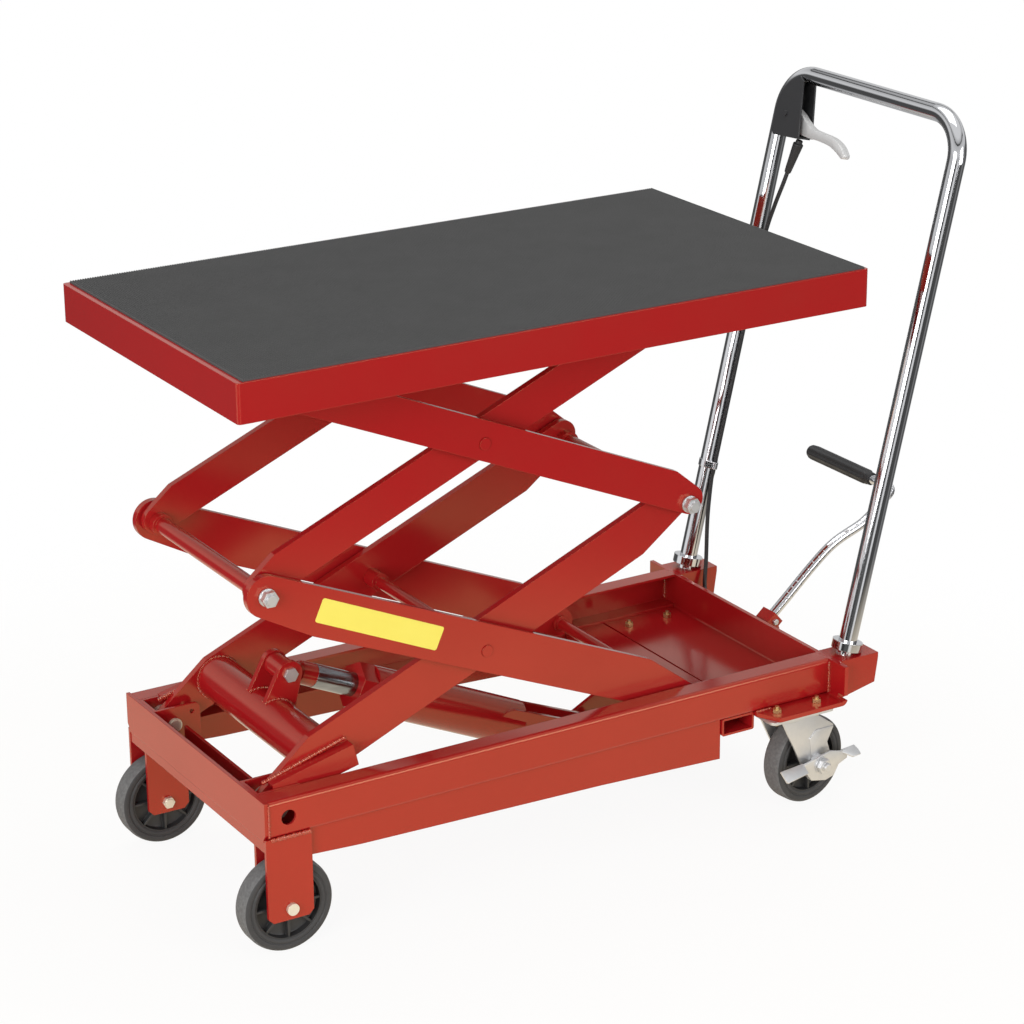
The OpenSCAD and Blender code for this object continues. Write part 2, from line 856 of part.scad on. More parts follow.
module pump_cradle() {
    zt = rail_z0 - tube_h;
    color("firebrick")
        both_sides()
            difference() {
                plate_xz(cradle_y0, cradle_y0 + cradle_t)
                    polygon([[tube_x0, zt], [tube_x1, zt], [tube_x1 + 2, deck_z0], [pump_x1, deck_z0],
                        [pump_x1, pump_z0 + 10], [pump_x1 - 20, pump_z0 - 4], [pump_x0, pump_z0 - 14],
                        [p_anchor[0] + 10, p_anchor[1] - 28], [p_anchor[0] - 24, p_anchor[1] - 14],
                        [p_anchor[0] - 24, p_anchor[1] + 20]]);
                rod_y(p_anchor, anchor_r + fit, cradle_y0 - 1, cradle_y0 + cradle_t + 1);
                translate([valve[0], cradle_y0 + cradle_t / 2, valve[2]])
                    rotate([90, 0, 0])
                        cylinder(h = 3 * cradle_t, r = 7, center = true);
            }
}

module pedal_hinge() {
    w = pedal_boss_w / 2 + side_gap;
    t = 6;
    p = pedal_pivot;
    color("firebrick") {
        for (s = [0, 1])
            translate([0, pedal_y + (s == 0 ? -w - t : w), 0])
                difference() {
                    plate_xz(0, t)
                        link_lug(p);
                    rod_y(p, pedal_pin_r + fit, -1, t + 1);
                }
        rod_y(p, pedal_pin_r, pedal_y - w - t - 4, pedal_y + w + t + 4);
    }
}

// Outline of a pedal hinge lug, from the rear plate round the pin
module link_lug(p) {
    polygon([[rear_x, p[1] + 20], [p[0], p[1] + 14], [p[0], p[1] - 14], [rear_x, p[1] - 2]]);
    translate(p)
        circle(14);
}

// Places of the caster bolts
module caster_bolt_places() {
    for (s = [-1, 1], x = [-1, 1], y = [-1, 1])
        translate([caster_x + x * caster_bolt[0] / 2, s * caster_y + y * caster_bolt[1] / 2, 0])
            children();
}

module caster_plates() {
    color("silver")
        difference() {
            both_sides()
                translate([caster_x, caster_y, caster_z1])
                    difference() {
                        union() {
                            linear_extrude(caster_plate_t)
                                rounded(-caster_plate / 2, caster_plate / 2, 8);
                            translate([0, 0, -8])
                                cylinder(h = 8 + eps, r = 33);
                        }
                        translate([0, 0, -10])
                            cylinder(h = 30, r = 9);
                    }
            caster_bolt_places()
                translate([0, 0, caster_z1 - 1])
                    cylinder(h = caster_plate_t + 2, r = deck_bolt_r + fit);
        }
}

module deck_bolts() {
    color("lightgray") {
        caster_bolt_places() {
            translate([0, 0, caster_z1 - 9])
                cylinder(h = deck_t + caster_plate_t + 18, r = deck_bolt_r);
            translate([0, 0, rail_z0 + 0.1])
                cylinder(h = 5.2, r = deck_nut / sqrt(3), $fn = 6);
            translate([0, 0, caster_z1 - 5.3])
                cylinder(h = 5.2, r = deck_nut / sqrt(3), $fn = 6);
        }
        both_sides()
            for (x = [pump_x0 + 14, pump_x1 - 54])
                hex_y([x, pump_z0 + 20], 13, cradle_y0 + cradle_t + 0.1, cradle_y0 + cradle_t + 6);
    }
}

// A spoked wheel about Y, its hub, web, ribs and tread
module wheel(w, hub_w, bore, ribs) {
    h = w / 2;
    r = wheel_r;
    difference() {
        union() {
            rotate([90, 0, 0])
                rotate_extrude($fn = 96)
                    polygon([[bore, -hub_w / 2], [17, -hub_w / 2], [17, -4], [r - 17, -4], [r - 15, 1.5 - h],
                        [r - 11, 0.5 - h], [r - 10, 1.2 - h], [r - 4, -h], [r - 1, 3 - h], [r, 6 - h],
                        [r, h - 6], [r - 1, h - 3], [r - 4, h], [r - 10, h - 1.2], [r - 11, h - 0.5],
                        [r - 15, h - 1.5], [r - 17, 4], [17, 4], [17, hub_w / 2], [bore, hub_w / 2]]);
            for (i = [0 : ribs - 1])
                rotate([0, 360 * i / ribs, 0])
                    translate([30, 0, 0])
                        cube([34, w - 6, 3], center = true);
        }
        rotate([90, 0, 0])
            cylinder(h = w + 30, r = bore, center = true);
    }
}

module front_wheel_right() {
    color("dimgray")
        translate([pivot_x, front_wheel_y, wheel_r])
            wheel(front_wheel_w, front_wheel_w + 2, axle_r + fit, 8);
}

module front_wheel_left() {
    mirror([0, 1, 0])
        front_wheel_right();
}

// Children made in a caster's frame, swivel axis at the origin, at the given side
module at_caster(s) {
    translate([caster_x, s * caster_y, 0])
        rotate([0, 0, caster_angle])
            children();
}

// Fork of a caster: raceway, crown, two legs and the axle; side s has the brake
module caster_fork(s) {
    a = [caster_trail, wheel_r];
    crown = caster_z1 - 12;
    out = caster_leg_y + caster_leg_t;
    color("silver") {
        difference() {
            union() {
                translate([0, 0, crown - 2])
                    cylinder(h = 5.7, r = 34);
                translate([0, 0, crown - 3])
                    cylinder(h = 18, r = 7);
                block([-21, -out, crown - 4], [36, out, crown]);
                both_sides() {
                    plate_xz(caster_leg_y, out)
                        polygon([[-21, crown - 1], [36, crown - 1], a + [33, 48], a + [21, 26], a + [26, 11],
                            a + [13, -6], a + [-14, -9], a + [-26, 1]]);
                    rod_y(a, 15, caster_leg_y, out);
                }
            }
            rod_y(a, axle_r + fit, -60, 60);
        }
        translate([a[0], 0, a[1]])
            rotate([s > 0 ? -90 : 90, 0, 0])
                caster_axle(out);
    }
}

// Axle bolt of a caster along +Z, its head beyond the brake lever and a hex nut at the other leg
module caster_axle(out) {
    head = brake_y + brake_t + 0.3;
    rotate_extrude()
        polygon([[0, -out - 8], [axle_r, -out - 8], [axle_r, head], [11, head], [11, head + 8],
            [9.5, head + 9.5], [axle_r, head + 9.5], [axle_r, head + 13], [axle_r - 1, head + 14],
            [0, head + 14]]);
    translate([0, 0, -out - 7])
        rotate([0, 0, 10])
            cylinder(h = 6.8, r = 18 / sqrt(3), $fn = 6);
}

module caster_fork_left() {
    at_caster(-1)
        caster_fork(-1);
}

module caster_fork_right() {
    at_caster(1)
        caster_fork(1);
}

module caster_wheel() {
    color("dimgray")
        translate([caster_trail, 0, wheel_r])
            wheel(caster_wheel_w, caster_hub_w, axle_r + fit, 8);
}

module caster_wheel_left() {
    at_caster(-1)
        caster_wheel();
}

module caster_wheel_right() {
    at_caster(1)
        caster_wheel();
}

// A foot tab of a brake lever: an outline that falls away outwards at the given slope
module foot_tab(x, slope) {
    translate([x, brake_y + 0.5, wheel_r + 11])
        rotate([-slope, 0, 0])
            translate([0, 0, -brake_t])
                linear_extrude(brake_t)
                    children();
}

// Brake lever of a caster, on its outer side: a sheet on a boss, with a foot tab at each end
module caster_brake() {
    a = [caster_trail, wheel_r];
    y1 = brake_y + brake_t;
    color("silver")
        difference() {
            union() {
                rod_y(a, 13, caster_leg_y + caster_leg_t + 1, y1);
                plate_xz(brake_y, y1)
                    translate(a)
                        polygon([[-36, 9], [-36, 5], [-17.5, -19], [9, -26], [25, -23], [34, -9], [50, -4], [50, 9],
                            [37, 10], [17, 16]]);
                foot_tab(a[0] - 75, 41)
                    polygon([[0, 0], [42, 0], [42, 16], [2, 19], [0, 17]]);
                foot_tab(a[0] + 41, 43)
                    polygon([[0, 0], [24, 0], [27, 8], [27, 16], [12, 16], [0, 6]]);
            }
            rod_y(a, axle_r + fit, caster_leg_y, y1 + 1);
        }
}

module caster_brake_left() {
    at_caster(-1)
        mirror([0, 1, 0])
            caster_brake();
}

module caster_brake_right() {
    at_caster(1)
        caster_brake();
}

module lower_inner_arm() {
    color("firebrick") {
        rising_arm(p_front, arm_h, lower_inner_lift, arm_chamfer, [18, lower_nose]);
        stop_angle();
    }
}

module lower_inner_arm_left() {
    mirror([0, 1, 0])
        lower_inner_arm();
}

module lower_inner_arm_right() {
    lower_inner_arm();
}

// A lug that stands on the lift tube, with a foot of 46
module lug_outline() {
    d = unit(p_lug - p_tube);
    n = [-d[1], d[0]];
    a = p_tube + 18 * d + 23 * n;
    b = p_tube + 18 * d - 23 * n;
    polygon([a, tangent(a, p_lug, lug_r, -1), p_lug, tangent(b, p_lug, lug_r, 1), b]);
    translate(p_lug)
        circle(lug_r + blend);
}

module lift_tube() {
    y1 = inner_y0 - 0.1;
    r = lift_tube_d / 2;
    color("firebrick")
        difference() {
            union() {
                rod_y(p_tube, r, -y1, y1);
                both_sides()
                    plate_xz(lug_y0, lug_y0 + lug_t)
                        lug_outline();
            }
            rod_y(p_tube, r - 5, -y1 - 1, y1 + 1);
            rod_y(p_lug, lug_pin_r + fit, -lug_y0 - lug_t - 1, lug_y0 + lug_t + 1);
        }
}

// Cross tube between two inner arms at a middle pivot, with a collar at each end
module mid_tube(p) {
    y1 = inner_y0 - 0.1;
    color("firebrick")
        difference() {
            union() {
                rod_y(p, 11, -y1, y1);
                both_sides()
                    rod_y(p, 15, y1 - 12, y1);
            }
            rod_y(p, hole_r, -y1 - 1, y1 + 1);
        }
}

module mid_rear_tube() {
    mid_tube(p_mid_rear);
}

module mid_front_tube() {
    mid_tube(p_mid_front);
}

module lower_centre_rod() {
    color("firebrick") {
        rod_y(p_low_mid, pin_r, -outer_y1 - 1.5, outer_y1 + 1.5);
        both_sides() {
            rod_y(p_low_mid, 13, inner_y0 - 25, inner_y0 - 0.2);
            rod_y(p_low_mid, 13, inner_y1 + 0.2, outer_y0 - 0.2);
        }
    }
}

// Stud of a middle pivot: thread end, washer and hex nut outside, a spacer between the arms
module mid_stud(p) {
    rod_y(p, pin_r, inner_y0 - 20, outer_y1 + 1.6);
    rod_y(p, 6.5, outer_y1 + 1, outer_y1 + 15);
    rod_y(p, 11.5, outer_y1 + side_gap, outer_y1 + 2.2);
    hex_y(p, 19, outer_y1 + 2.1, outer_y1 + 12);
    rod_y(p, 13, inner_y1 + 0.2, outer_y0 - 0.2);
}

module lower_frame_bolts() {
    y = lug_y0 + lug_t;
    color("lightgray") {
        both_sides()
            mid_stud(p_mid_rear);
        rod_y(p_lug, lug_pin_r, -y - 2.5, y + 2.5);
        hex_y(p_lug, 17.4, -y - 4.5, -y - 0.2);
        hex_y(p_lug, 17.4, y + 0.2, y + 4.5);
    }
}

module lower_outer_arm() {
    color("firebrick")
        falling_arm(p_mid_front, arm_h, arm_chamfer, [27, lower_nose]);
}

module lower_outer_arm_left() {
    mirror([0, 1, 0])
        lower_outer_arm();
}

module lower_outer_arm_right() {
    lower_outer_arm();
}

module lower_roller_axle() {
    color("firebrick") {
        rod_y(p_low_roll, pin_r, -roller_y1 - 1.2, roller_y1 + 1.2);
        both_sides() {
            rod_y(p_low_roll, 12, outer_y1 + 0.2, roller_y0 - side_gap);
            rod_y(p_low_roll, 12, outer_y0 - 6, outer_y0 - 0.2);
        }
    }
}

// A roller at p on the right side, with a rounded rim
module roller(p) {
    color("gray")
        translate([p[0], roller_y0, p[1]])
            rotate([-90, 0, 0])
                rotate_extrude()
                    polygon([[hole_r, 0], [roller_r - 1.5, 0], [roller_r, 1.5], [roller_r, roller_w - 1.5],
                        [roller_r - 1.5, roller_w], [hole_r, roller_w]]);
}

module lower_roller_left() {
    mirror([0, 1, 0])
        roller(p_low_roll);
}

module lower_roller_right() {
    roller(p_low_roll);
}

module upper_roller_left() {
    mirror([0, 1, 0])
        roller(p_up_roll);
}

module upper_roller_right() {
    roller(p_up_roll);
}

module upper_inner_arm_right() {
    color("firebrick")
        rising_arm(p_mid_front, upper_arm_h, upper_inner_lift, upper_chamfer, [upper_nose, upper_nose]);
}

module upper_inner_arm_left() {
    mirror([0, 1, 0])
        upper_inner_arm_right();
}

module upper_frame_bolts() {
    color("lightgray")
        both_sides() {
            mid_stud(p_mid_front);
            rod_y(p_up_roll, pin_r, inner_y0 - 8, roller_y1 + 1.2);
            rod_y(p_up_roll, 13, inner_y0 - 8, inner_y0 - 0.2);
            rod_y(p_up_roll, 12, inner_y1 + 0.2, roller_y0 - side_gap);
        }
}

module upper_outer_arm_right() {
    color("firebrick")
        falling_arm(p_up_front, upper_arm_h, upper_chamfer, [upper_nose, upper_nose]);
}

module upper_outer_arm_left() {
    mirror([0, 1, 0])
        upper_outer_arm_right();
}

module upper_pivot_pins() {
    color("firebrick")
        both_sides() {
            rod_y(p_up_mid, pin_r, inner_y0 - 6, outer_y1 + 1.5);
            rod_y(p_up_mid, 13, inner_y0 - 6, inner_y0 - side_gap);
            rod_y(p_up_mid, 13, inner_y1 + side_gap, outer_y0 - 0.2);
            rod_y(p_up_front, pin_r, fork_in - 5, fork_out + fork_t + 5);
            rod_y(p_up_front, 12, fork_in - 5, fork_in - side_gap);
            rod_y(p_up_front, 12, fork_out + fork_t + side_gap, fork_out + fork_t + 5);
        }
}

module platform_tray() {
    h = [platform_l, platform_w] / 2;
    w = [platform_t, platform_t];
    color("firebrick")
        translate([platform_x, 0, 0])
            difference() {
                translate([0, 0, platform_top - platform_h])
                    linear_extrude(platform_h)
                        rounded(-h, h, 5);
                translate([0, 0, platform_top - platform_h - 1])
                    linear_extrude(platform_h - platform_t + 1)
                        rounded(w - h, h - w, 2);
            }
}

module platform_mat() {
    a = [platform_x - platform_l / 2 + mat_rim, 4 - platform_w / 2];
    b = [platform_x + platform_l / 2 - mat_rim / 2, platform_w / 2 - 4];
    color("dimgray")
        translate([0, 0, platform_top])
            linear_extrude(mat_t)
                rounded(a, b, 2);
}

module platform_channels() {
    color("firebrick")
        both_sides()
            plate_yz(channel_x0, channel_x1)
                channel_outline(rail_y0, rail_y1, plate_z0 - channel_h, channel_h, channel_t, 3);
}

module platform_brackets() {
    x = p_up_front[0];
    z = p_up_front[1];
    color("firebrick")
        both_sides()
            for (y = [fork_in, fork_out])
                plate_xz(y, y + fork_t)
                    difference() {
                        union() {
                            translate([x - 24, z])
                                square([48, plate_z0 - z]);
                            translate([x, z])
                                circle(18);
                            translate([x - 24, z - 6])
                                square([48, 7]);
                        }
                        translate([x, z])
                            circle(hole_r);
                    }
}

// Children made in the cylinder's frame: the lug pin at the origin, +X to the anchor
module in_cylinder() {
    translate([p_lug[0], 0, p_lug[1]])
        rotate([0, -cyl_a, 0])
            children();
}

// A round bar along X in the cylinder's frame
module rod_x(x0, x1, r) {
    translate([x0, 0, 0])
        rotate([0, 90, 0])
            cylinder(h = x1 - x0, r = r);
}

module cylinder_rod() {
    w = lug_y0 - 0.5;
    color("silver")
        in_cylinder()
            difference() {
                union() {
                    rod_y([0, 0], eye_r, -w, w);
                    rod_x(4, 20, 12);
                    rod_x(17, 52, rod_d / 2 + 1);
                    rod_x(50, rod_end, rod_d / 2);
                    rod_x(rod_end - 16, rod_end, bore_r - 0.3);
                }
                rod_y([0, 0], lug_pin_r + fit, -w - 1, w + 1);
            }
}

module gland_nut() {
    color("firebrick")
        in_cylinder()
            difference() {
                union() {
                    translate([gland_x0, 0, 0])
                        rotate([0, 90, 0])
                            cylinder(h = barrel_x0 - gland_x0, r = barrel_d / 2, $fn = 6);
                    rod_x(gland_x0, barrel_x0 + 18, bore_r - 0.1);
                }
                rod_x(gland_x0 - 1, barrel_x0 + 19, rod_d / 2 + fit);
            }
}

module cylinder_barrel() {
    y = anchor_plate_y;
    color("firebrick")
        in_cylinder()
            difference() {
                union() {
                    rod_x(barrel_x0, barrel_x1, barrel_d / 2);
                    both_sides()
                        plate_xz(y, y + anchor_plate_t)
                            link([barrel_x1 - 20, 0], 24, [cyl_l, 0] + eye_shift, anchor_slot + 9);
                }
                rod_x(barrel_x0 - 1, barrel_x1 - 14, bore_r);
                rod_y([cyl_l, 0] + eye_shift, anchor_slot, -60, 60);
            }
}

module pedal_lever() {
    w = pedal_boss_w / 2;
    m = pedal_mouth;
    d = [cos(pedal_tilt), sin(pedal_tilt)];
    color("firebrick")
        translate([0, pedal_y, 0])
            difference() {
                union() {
                    rod_y(pedal_pivot, 14, -w, w);
                    plate_xz(-8, 8) {
                        link(pedal_pivot, 14, m - 10 * d, pedal_block / 2 - 1);
                        link(pedal_pivot, 13, crank_end, 10);
                    }
                    translate([m[0], 0, m[1]])
                        rotate([0, -pedal_tilt, 0])
                            translate([-17.5, -14, -pedal_block / 2])
                                cube([17.5, 28, pedal_block]);
                }
                rod_y(pedal_pivot, pedal_pin_r + fit, -w - 1, w + 1);
                translate([m[0], 0, m[1]])
                    rotate([0, -pedal_tilt, 0])
                        translate([-14, 0, 0])
                            rotate([0, 90, 0])
                                cylinder(h = 60, r = pedal_bar_d / 2 + fit);
            }
}

module pedal_bar() {
    d = [cos(pedal_tilt), sin(pedal_tilt)];
    s = bar_p0 - 13 * d;
    p = [[s[0], s[1]], bar_p0 + 22 * d, bar_p1, bar_p2, bar_p3];
    y = pedal_y;
    path = concat([[p[0][0], y, p[0][1]]], curve([for (i = [1 : 3]) [p[i][0], y, p[i][1]]], 6),
        [for (i = [0 : 6]) let (a = 90 * i / 6)
            [p[4][0] - bar_turn * (1 - sin(a)), y + bar_turn * (1 - cos(a)), p[4][1] - 8 * (1 - sin(a))]],
        [[p[4][0], grip_y0 + grip_l - 12, p[4][1]]]);
    color("silver")
        sweep(path, pedal_bar_d / 2, 24);
}

module pedal_grip() {
    color("black")
        translate([bar_p3[0], grip_y0, bar_p3[1]])
            rotate([-90, 0, 0])
                rotate_extrude()
                    polygon([[pedal_bar_d / 2 + fit, 0], [grip_d / 2 - 1.5, 0], [grip_d / 2, 1.5],
                        [grip_d / 2, grip_l - 4], [grip_d / 2 - 4, grip_l], [0, grip_l], [0, grip_l - 11.8],
                        [pedal_bar_d / 2 + fit, grip_l - 11.8]]);
}

module pump_plunger() {
    x1 = crank_end[0] - 10.4;
    color("silver")
        translate([0, pedal_y, crank_end[1]]) {
            rod_x(pump_x1 - 20, x1, plunger_r);
            rod_x(x1 - 4, x1, 13);
        }
}

side_rail_left();
side_rail_right();
skirt_plates();
front_cross_member();
rear_deck();
rear_cross_tube();
pivot_brackets();
wheel_forks();
base_pins();
handle_sockets();
handle_fittings();
handle();
release_bracket();
release_cable();
cable_boot();
pump_body();
pump_cradle();
pedal_hinge();
caster_plates();
deck_bolts();
front_wheel_left();
front_wheel_right();
caster_fork_left();
caster_fork_right();
caster_wheel_left();
caster_wheel_right();
caster_brake_left();
caster_brake_right();
lower_inner_arm_left();
lower_inner_arm_right();
lift_tube();
mid_rear_tube();
lower_centre_rod();
lower_frame_bolts();
lower_outer_arm_left();
lower_outer_arm_right();
lower_roller_axle();
lower_roller_left();
lower_roller_right();
upper_roller_left();
upper_roller_right();
upper_inner_arm_left();
upper_inner_arm_right();
mid_front_tube();
upper_frame_bolts();
upper_outer_arm_left();
upper_outer_arm_right();
upper_pivot_pins();
platform_tray();
platform_mat();
platform_channels();
platform_brackets();
cylinder_rod();
cylinder_barrel();
gland_nut();
pedal_lever();
pedal_bar();
pedal_grip();
release_lever();
pump_plunger();
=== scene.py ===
"""Looks of a double scissor lift table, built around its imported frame."""

import json
import logging
import math
from collections.abc import Iterable, Sequence
from dataclasses import dataclass, field
from enum import Enum
from typing import Any

import bmesh
import bpy
from mathutils import Matrix, Vector


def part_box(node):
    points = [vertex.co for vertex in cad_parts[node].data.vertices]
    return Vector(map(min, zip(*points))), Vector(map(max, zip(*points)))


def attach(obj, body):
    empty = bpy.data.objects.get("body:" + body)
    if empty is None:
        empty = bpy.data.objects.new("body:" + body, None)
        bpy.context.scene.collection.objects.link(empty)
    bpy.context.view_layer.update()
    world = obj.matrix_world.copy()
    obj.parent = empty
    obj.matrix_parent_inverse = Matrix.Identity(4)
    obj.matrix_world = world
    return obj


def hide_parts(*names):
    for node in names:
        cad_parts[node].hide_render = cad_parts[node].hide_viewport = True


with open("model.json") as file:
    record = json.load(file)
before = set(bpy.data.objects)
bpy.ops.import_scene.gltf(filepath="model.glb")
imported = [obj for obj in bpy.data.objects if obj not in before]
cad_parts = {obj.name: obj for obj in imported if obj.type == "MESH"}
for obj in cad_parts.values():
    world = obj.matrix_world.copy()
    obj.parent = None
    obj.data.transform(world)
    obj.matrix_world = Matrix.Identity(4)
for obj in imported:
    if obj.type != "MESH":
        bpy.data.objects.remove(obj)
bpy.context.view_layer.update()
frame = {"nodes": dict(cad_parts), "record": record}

LOG = logging.getLogger("lift_table")
MM = 0.001
JOINTS: dict[str, dict[str, Any]] = {j["name"]: j for j in frame["record"]["behaviour"]["joints"]}

# Places of the part's source that the record doesn't hold, in millimetres: the rear plate's face, the rails'
# top, foot and outer face, the lower inner arms' slope and pivot (x, z), and the wheels' radius
REAR_X = 329.0
RAIL_TOP = 213.0
RAIL_FOOT = 163.0
RAIL_FACE = 203.0
ARM_ANGLE = math.radians(24.3)
PIVOT = (-504.0, 188.0)
WHEEL_RADIUS = 62.5
# The same for the handle: its foot, lean, tube, top and legs, and V, the height of its bow along the lean
HANDLE_X = 357.0
HANDLE_LEAN = math.radians(13.3)
HANDLE_RADIUS = 12.5
HANDLE_TOP = 944.0
HANDLE_V = (HANDLE_TOP - HANDLE_RADIUS - RAIL_TOP) / math.cos(HANDLE_LEAN)
LEG_Y = 193.0
# Angle in radians over which a plate's edge is rounded
ROUNDED_EDGE = 0.9


class Side(Enum):
    """The two sides of the table, as seen from behind the handle."""

    LEFT = "left"
    RIGHT = "right"

    @property
    def sign(self) -> float:
        """Sign of Y on this side."""
        return -1.0 if self is Side.LEFT else 1.0


def linear(code: str) -> tuple[float, float, float, float]:
    """Turns an sRGB hex colour into linear RGBA.

    Args:
        code: colour such as "#a01012".

    Returns:
        Linear red, green, blue and an alpha of 1.
    """
    parts = [int(code[i : i + 2], 16) / 255 for i in (1, 3, 5)]
    red, green, blue = (c / 12.92 if c <= 0.04045 else ((c + 0.055) / 1.055) ** 2.4 for c in parts)
    return red, green, blue, 1.0


def add(tree: bpy.types.NodeTree, kind: str, inputs: dict[Any, Any], **settings: Any) -> bpy.types.Node:
    """Adds a node, sets its properties, and sets or links its inputs.

    Args:
        tree: node tree that gets the node.
        kind: node type.
        inputs: socket name or index to a value, or to another node's output socket.
        **settings: properties of the node.

    Returns:
        The new node.
    """
    node = tree.nodes.new(kind)
    for name, value in settings.items():
        setattr(node, name, value)
    for key, value in inputs.items():
        if isinstance(value, bpy.types.NodeSocket):
            tree.links.new(value, node.inputs[key])
        else:
            node.inputs[key].default_value = value
    return node


@dataclass(frozen=True)
class Finish:
    """A surface: two close colours mottled together, gloss that varies with them, and a fine grain."""

    name: str
    colour: str
    second: str
    rough: tuple[float, float]
    metallic: float = 0.0
    coat: float = 0.0
    mottle_mm: float = 80.0
    grain_mm: float = 4.0
    grain_depth_mm: float = 0.02
    stretch: tuple[float, float, float] = (1.0, 1.0, 1.0)
    edge_mm: float = 0.8
    specular: float = 0.5
    sheen_tint: str = "#ffffff"
    coat_rough: float = 0.06
    bump: float = 0.6

    def make(self) -> bpy.types.Material:
        """Builds the material, or returns the one already built.

        Returns:
            The finish as a node material.
        """
        done = bpy.data.materials.get(self.name)
        if done:
            return done
        material = bpy.data.materials.new(self.name)
        material.use_nodes = True
        tree = material.node_tree
        shader = tree.nodes["Principled BSDF"]
        place = add(tree, "ShaderNodeTexCoord", {})
        scaled = add(tree, "ShaderNodeMapping", {"Vector": place.outputs["Object"], "Scale": self.stretch})
        mottle = add(tree, "ShaderNodeTexNoise", {"Vector": scaled.outputs["Vector"],
            "Scale": 1000 / self.mottle_mm, "Detail": 5.0, "Roughness": 0.6})
        grain = add(tree, "ShaderNodeTexNoise", {"Vector": scaled.outputs["Vector"],
            "Scale": 1000 / self.grain_mm, "Detail": 3.0, "Roughness": 0.55})
        tint = add(tree, "ShaderNodeMix", {"Factor": mottle.outputs["Fac"], "A": linear(self.colour),
            "B": linear(self.second)}, data_type="RGBA")
        gloss = add(tree, "ShaderNodeMapRange", {"Value": mottle.outputs["Fac"], "From Min": 0.3,
            "From Max": 0.7, "To Min": self.rough[0], "To Max": self.rough[1]})
        edge = add(tree, "ShaderNodeBevel", {"Radius": self.edge_mm * MM}, samples=4)
        bump = add(tree, "ShaderNodeBump", {"Strength": self.bump, "Distance": self.grain_depth_mm * MM,
            "Height": grain.outputs["Fac"], "Normal": edge.outputs["Normal"]})
        tree.links.new(tint.outputs["Result"], shader.inputs["Base Color"])
        tree.links.new(gloss.outputs["Result"], shader.inputs["Roughness"])
        tree.links.new(bump.outputs["Normal"], shader.inputs["Normal"])
        shader.inputs["Metallic"].default_value = self.metallic
        shader.inputs["Coat Weight"].default_value = self.coat
        shader.inputs["Coat Roughness"].default_value = self.coat_rough
        shader.inputs["Specular IOR Level"].default_value = self.specular
        shader.inputs["Specular Tint"].default_value = linear(self.sheen_tint)
        return material


# Sprayed gloss enamel over steel: a deep red that mirrors the floor, with the ripple of sprayed paint, which
# is about 2 mm wide and drawn at 8 mm so that it shows
RED_ENAMEL = Finish("red_enamel", "#ae1b20", "#a2171b", (0.13, 0.22), mottle_mm=140, grain_mm=8,
    grain_depth_mm=0.02, edge_mm=1.2, specular=0.8, sheen_tint="#ffeeb4")
# Enamel over a weld: the same paint on a lumpy bead, glinting on each drop
WELD_ENAMEL = Finish("weld_enamel", "#b42a20", "#9c1b18", (0.08, 0.15), coat=1.0, mottle_mm=12, grain_mm=2,
    grain_depth_mm=0.25, edge_mm=0.3, specular=1.0, sheen_tint="#ffe9a8")
# Polished chromium plate: a mirror with faint handling haze
CHROME = Finish("chrome_plate", "#dcdde0", "#cfd0d3", (0.04, 0.09), metallic=1.0, mottle_mm=60, grain_mm=3,
    grain_depth_mm=0.004, edge_mm=1.4)
# Hard chromium on the cylinder's ground bar: darker, with fine lines along it
GROUND_BAR = Finish("ground_hard_chrome", "#a4a8ac", "#777b80", (0.14, 0.26), metallic=1.0, mottle_mm=7,
    grain_mm=3, grain_depth_mm=0.01, stretch=(0.08, 1.0, 1.0), edge_mm=0.6)
# Zinc plated pressed steel: pale, a little cloudy, with broad soft highlights
ZINC = Finish("zinc_plate", "#e0e1e2", "#cbccce", (0.36, 0.50), metallic=0.85, mottle_mm=18, grain_mm=2.5,
    grain_depth_mm=0.03, edge_mm=0.8)
# Zinc plate passivated yellow, on the bolts of the deck: warm and a little uneven
YELLOW_ZINC = Finish("yellow_zinc_plate", "#dcc79a", "#c2a878", (0.24, 0.4), metallic=1.0, mottle_mm=9,
    grain_mm=2, grain_depth_mm=0.02, edge_mm=0.6)
# Fresh zinc plate on the front pivots' pins: creamy and bright
PALE_ZINC = Finish("pale_zinc_plate", "#f2ede0", "#dcd5c4", (0.30, 0.42), metallic=0.6, mottle_mm=10,
    grain_mm=2, grain_depth_mm=0.02, edge_mm=0.6)
# Turned steel of the rollers under a thin film of grease: mid grey, a blurred mirror
TURNED_STEEL = Finish("turned_steel", "#8d8e90", "#7b7c7e", (0.25, 0.4), metallic=1.0, mottle_mm=25,
    grain_mm=2, grain_depth_mm=0.02)
# Moulded rubber sheet of the mat: dull, dusty dark grey
MAT_RUBBER = Finish("moulded_mat_rubber", "#595959", "#545454", (0.72, 0.85), mottle_mm=60, grain_mm=1.6,
    grain_depth_mm=0.05, edge_mm=0.3, specular=0.05)
# Moulded wheel rubber: dark grey, satin on the side walls
WHEEL_RUBBER = Finish("moulded_tyre_rubber", "#4a4a4b", "#3c3c3d", (0.42, 0.58), mottle_mm=30, grain_mm=2.5,
    grain_depth_mm=0.05, edge_mm=0.8, specular=0.25)
# The same rubber where it has rolled on a floor: scuffed grey and grainy
TREAD_RUBBER = Finish("tread_rubber", "#858585", "#4e4e4f", (0.75, 0.9), mottle_mm=4, grain_mm=1.8,
    grain_depth_mm=0.2, edge_mm=0.5, specular=0.3)
# Moulded nylon of the wheels' cores: near black with an even, low gloss
WHEEL_CORE = Finish("wheel_core", "#343435", "#2a2a2b", (0.38, 0.52), mottle_mm=40, grain_mm=2.5,
    grain_depth_mm=0.03, edge_mm=0.8)
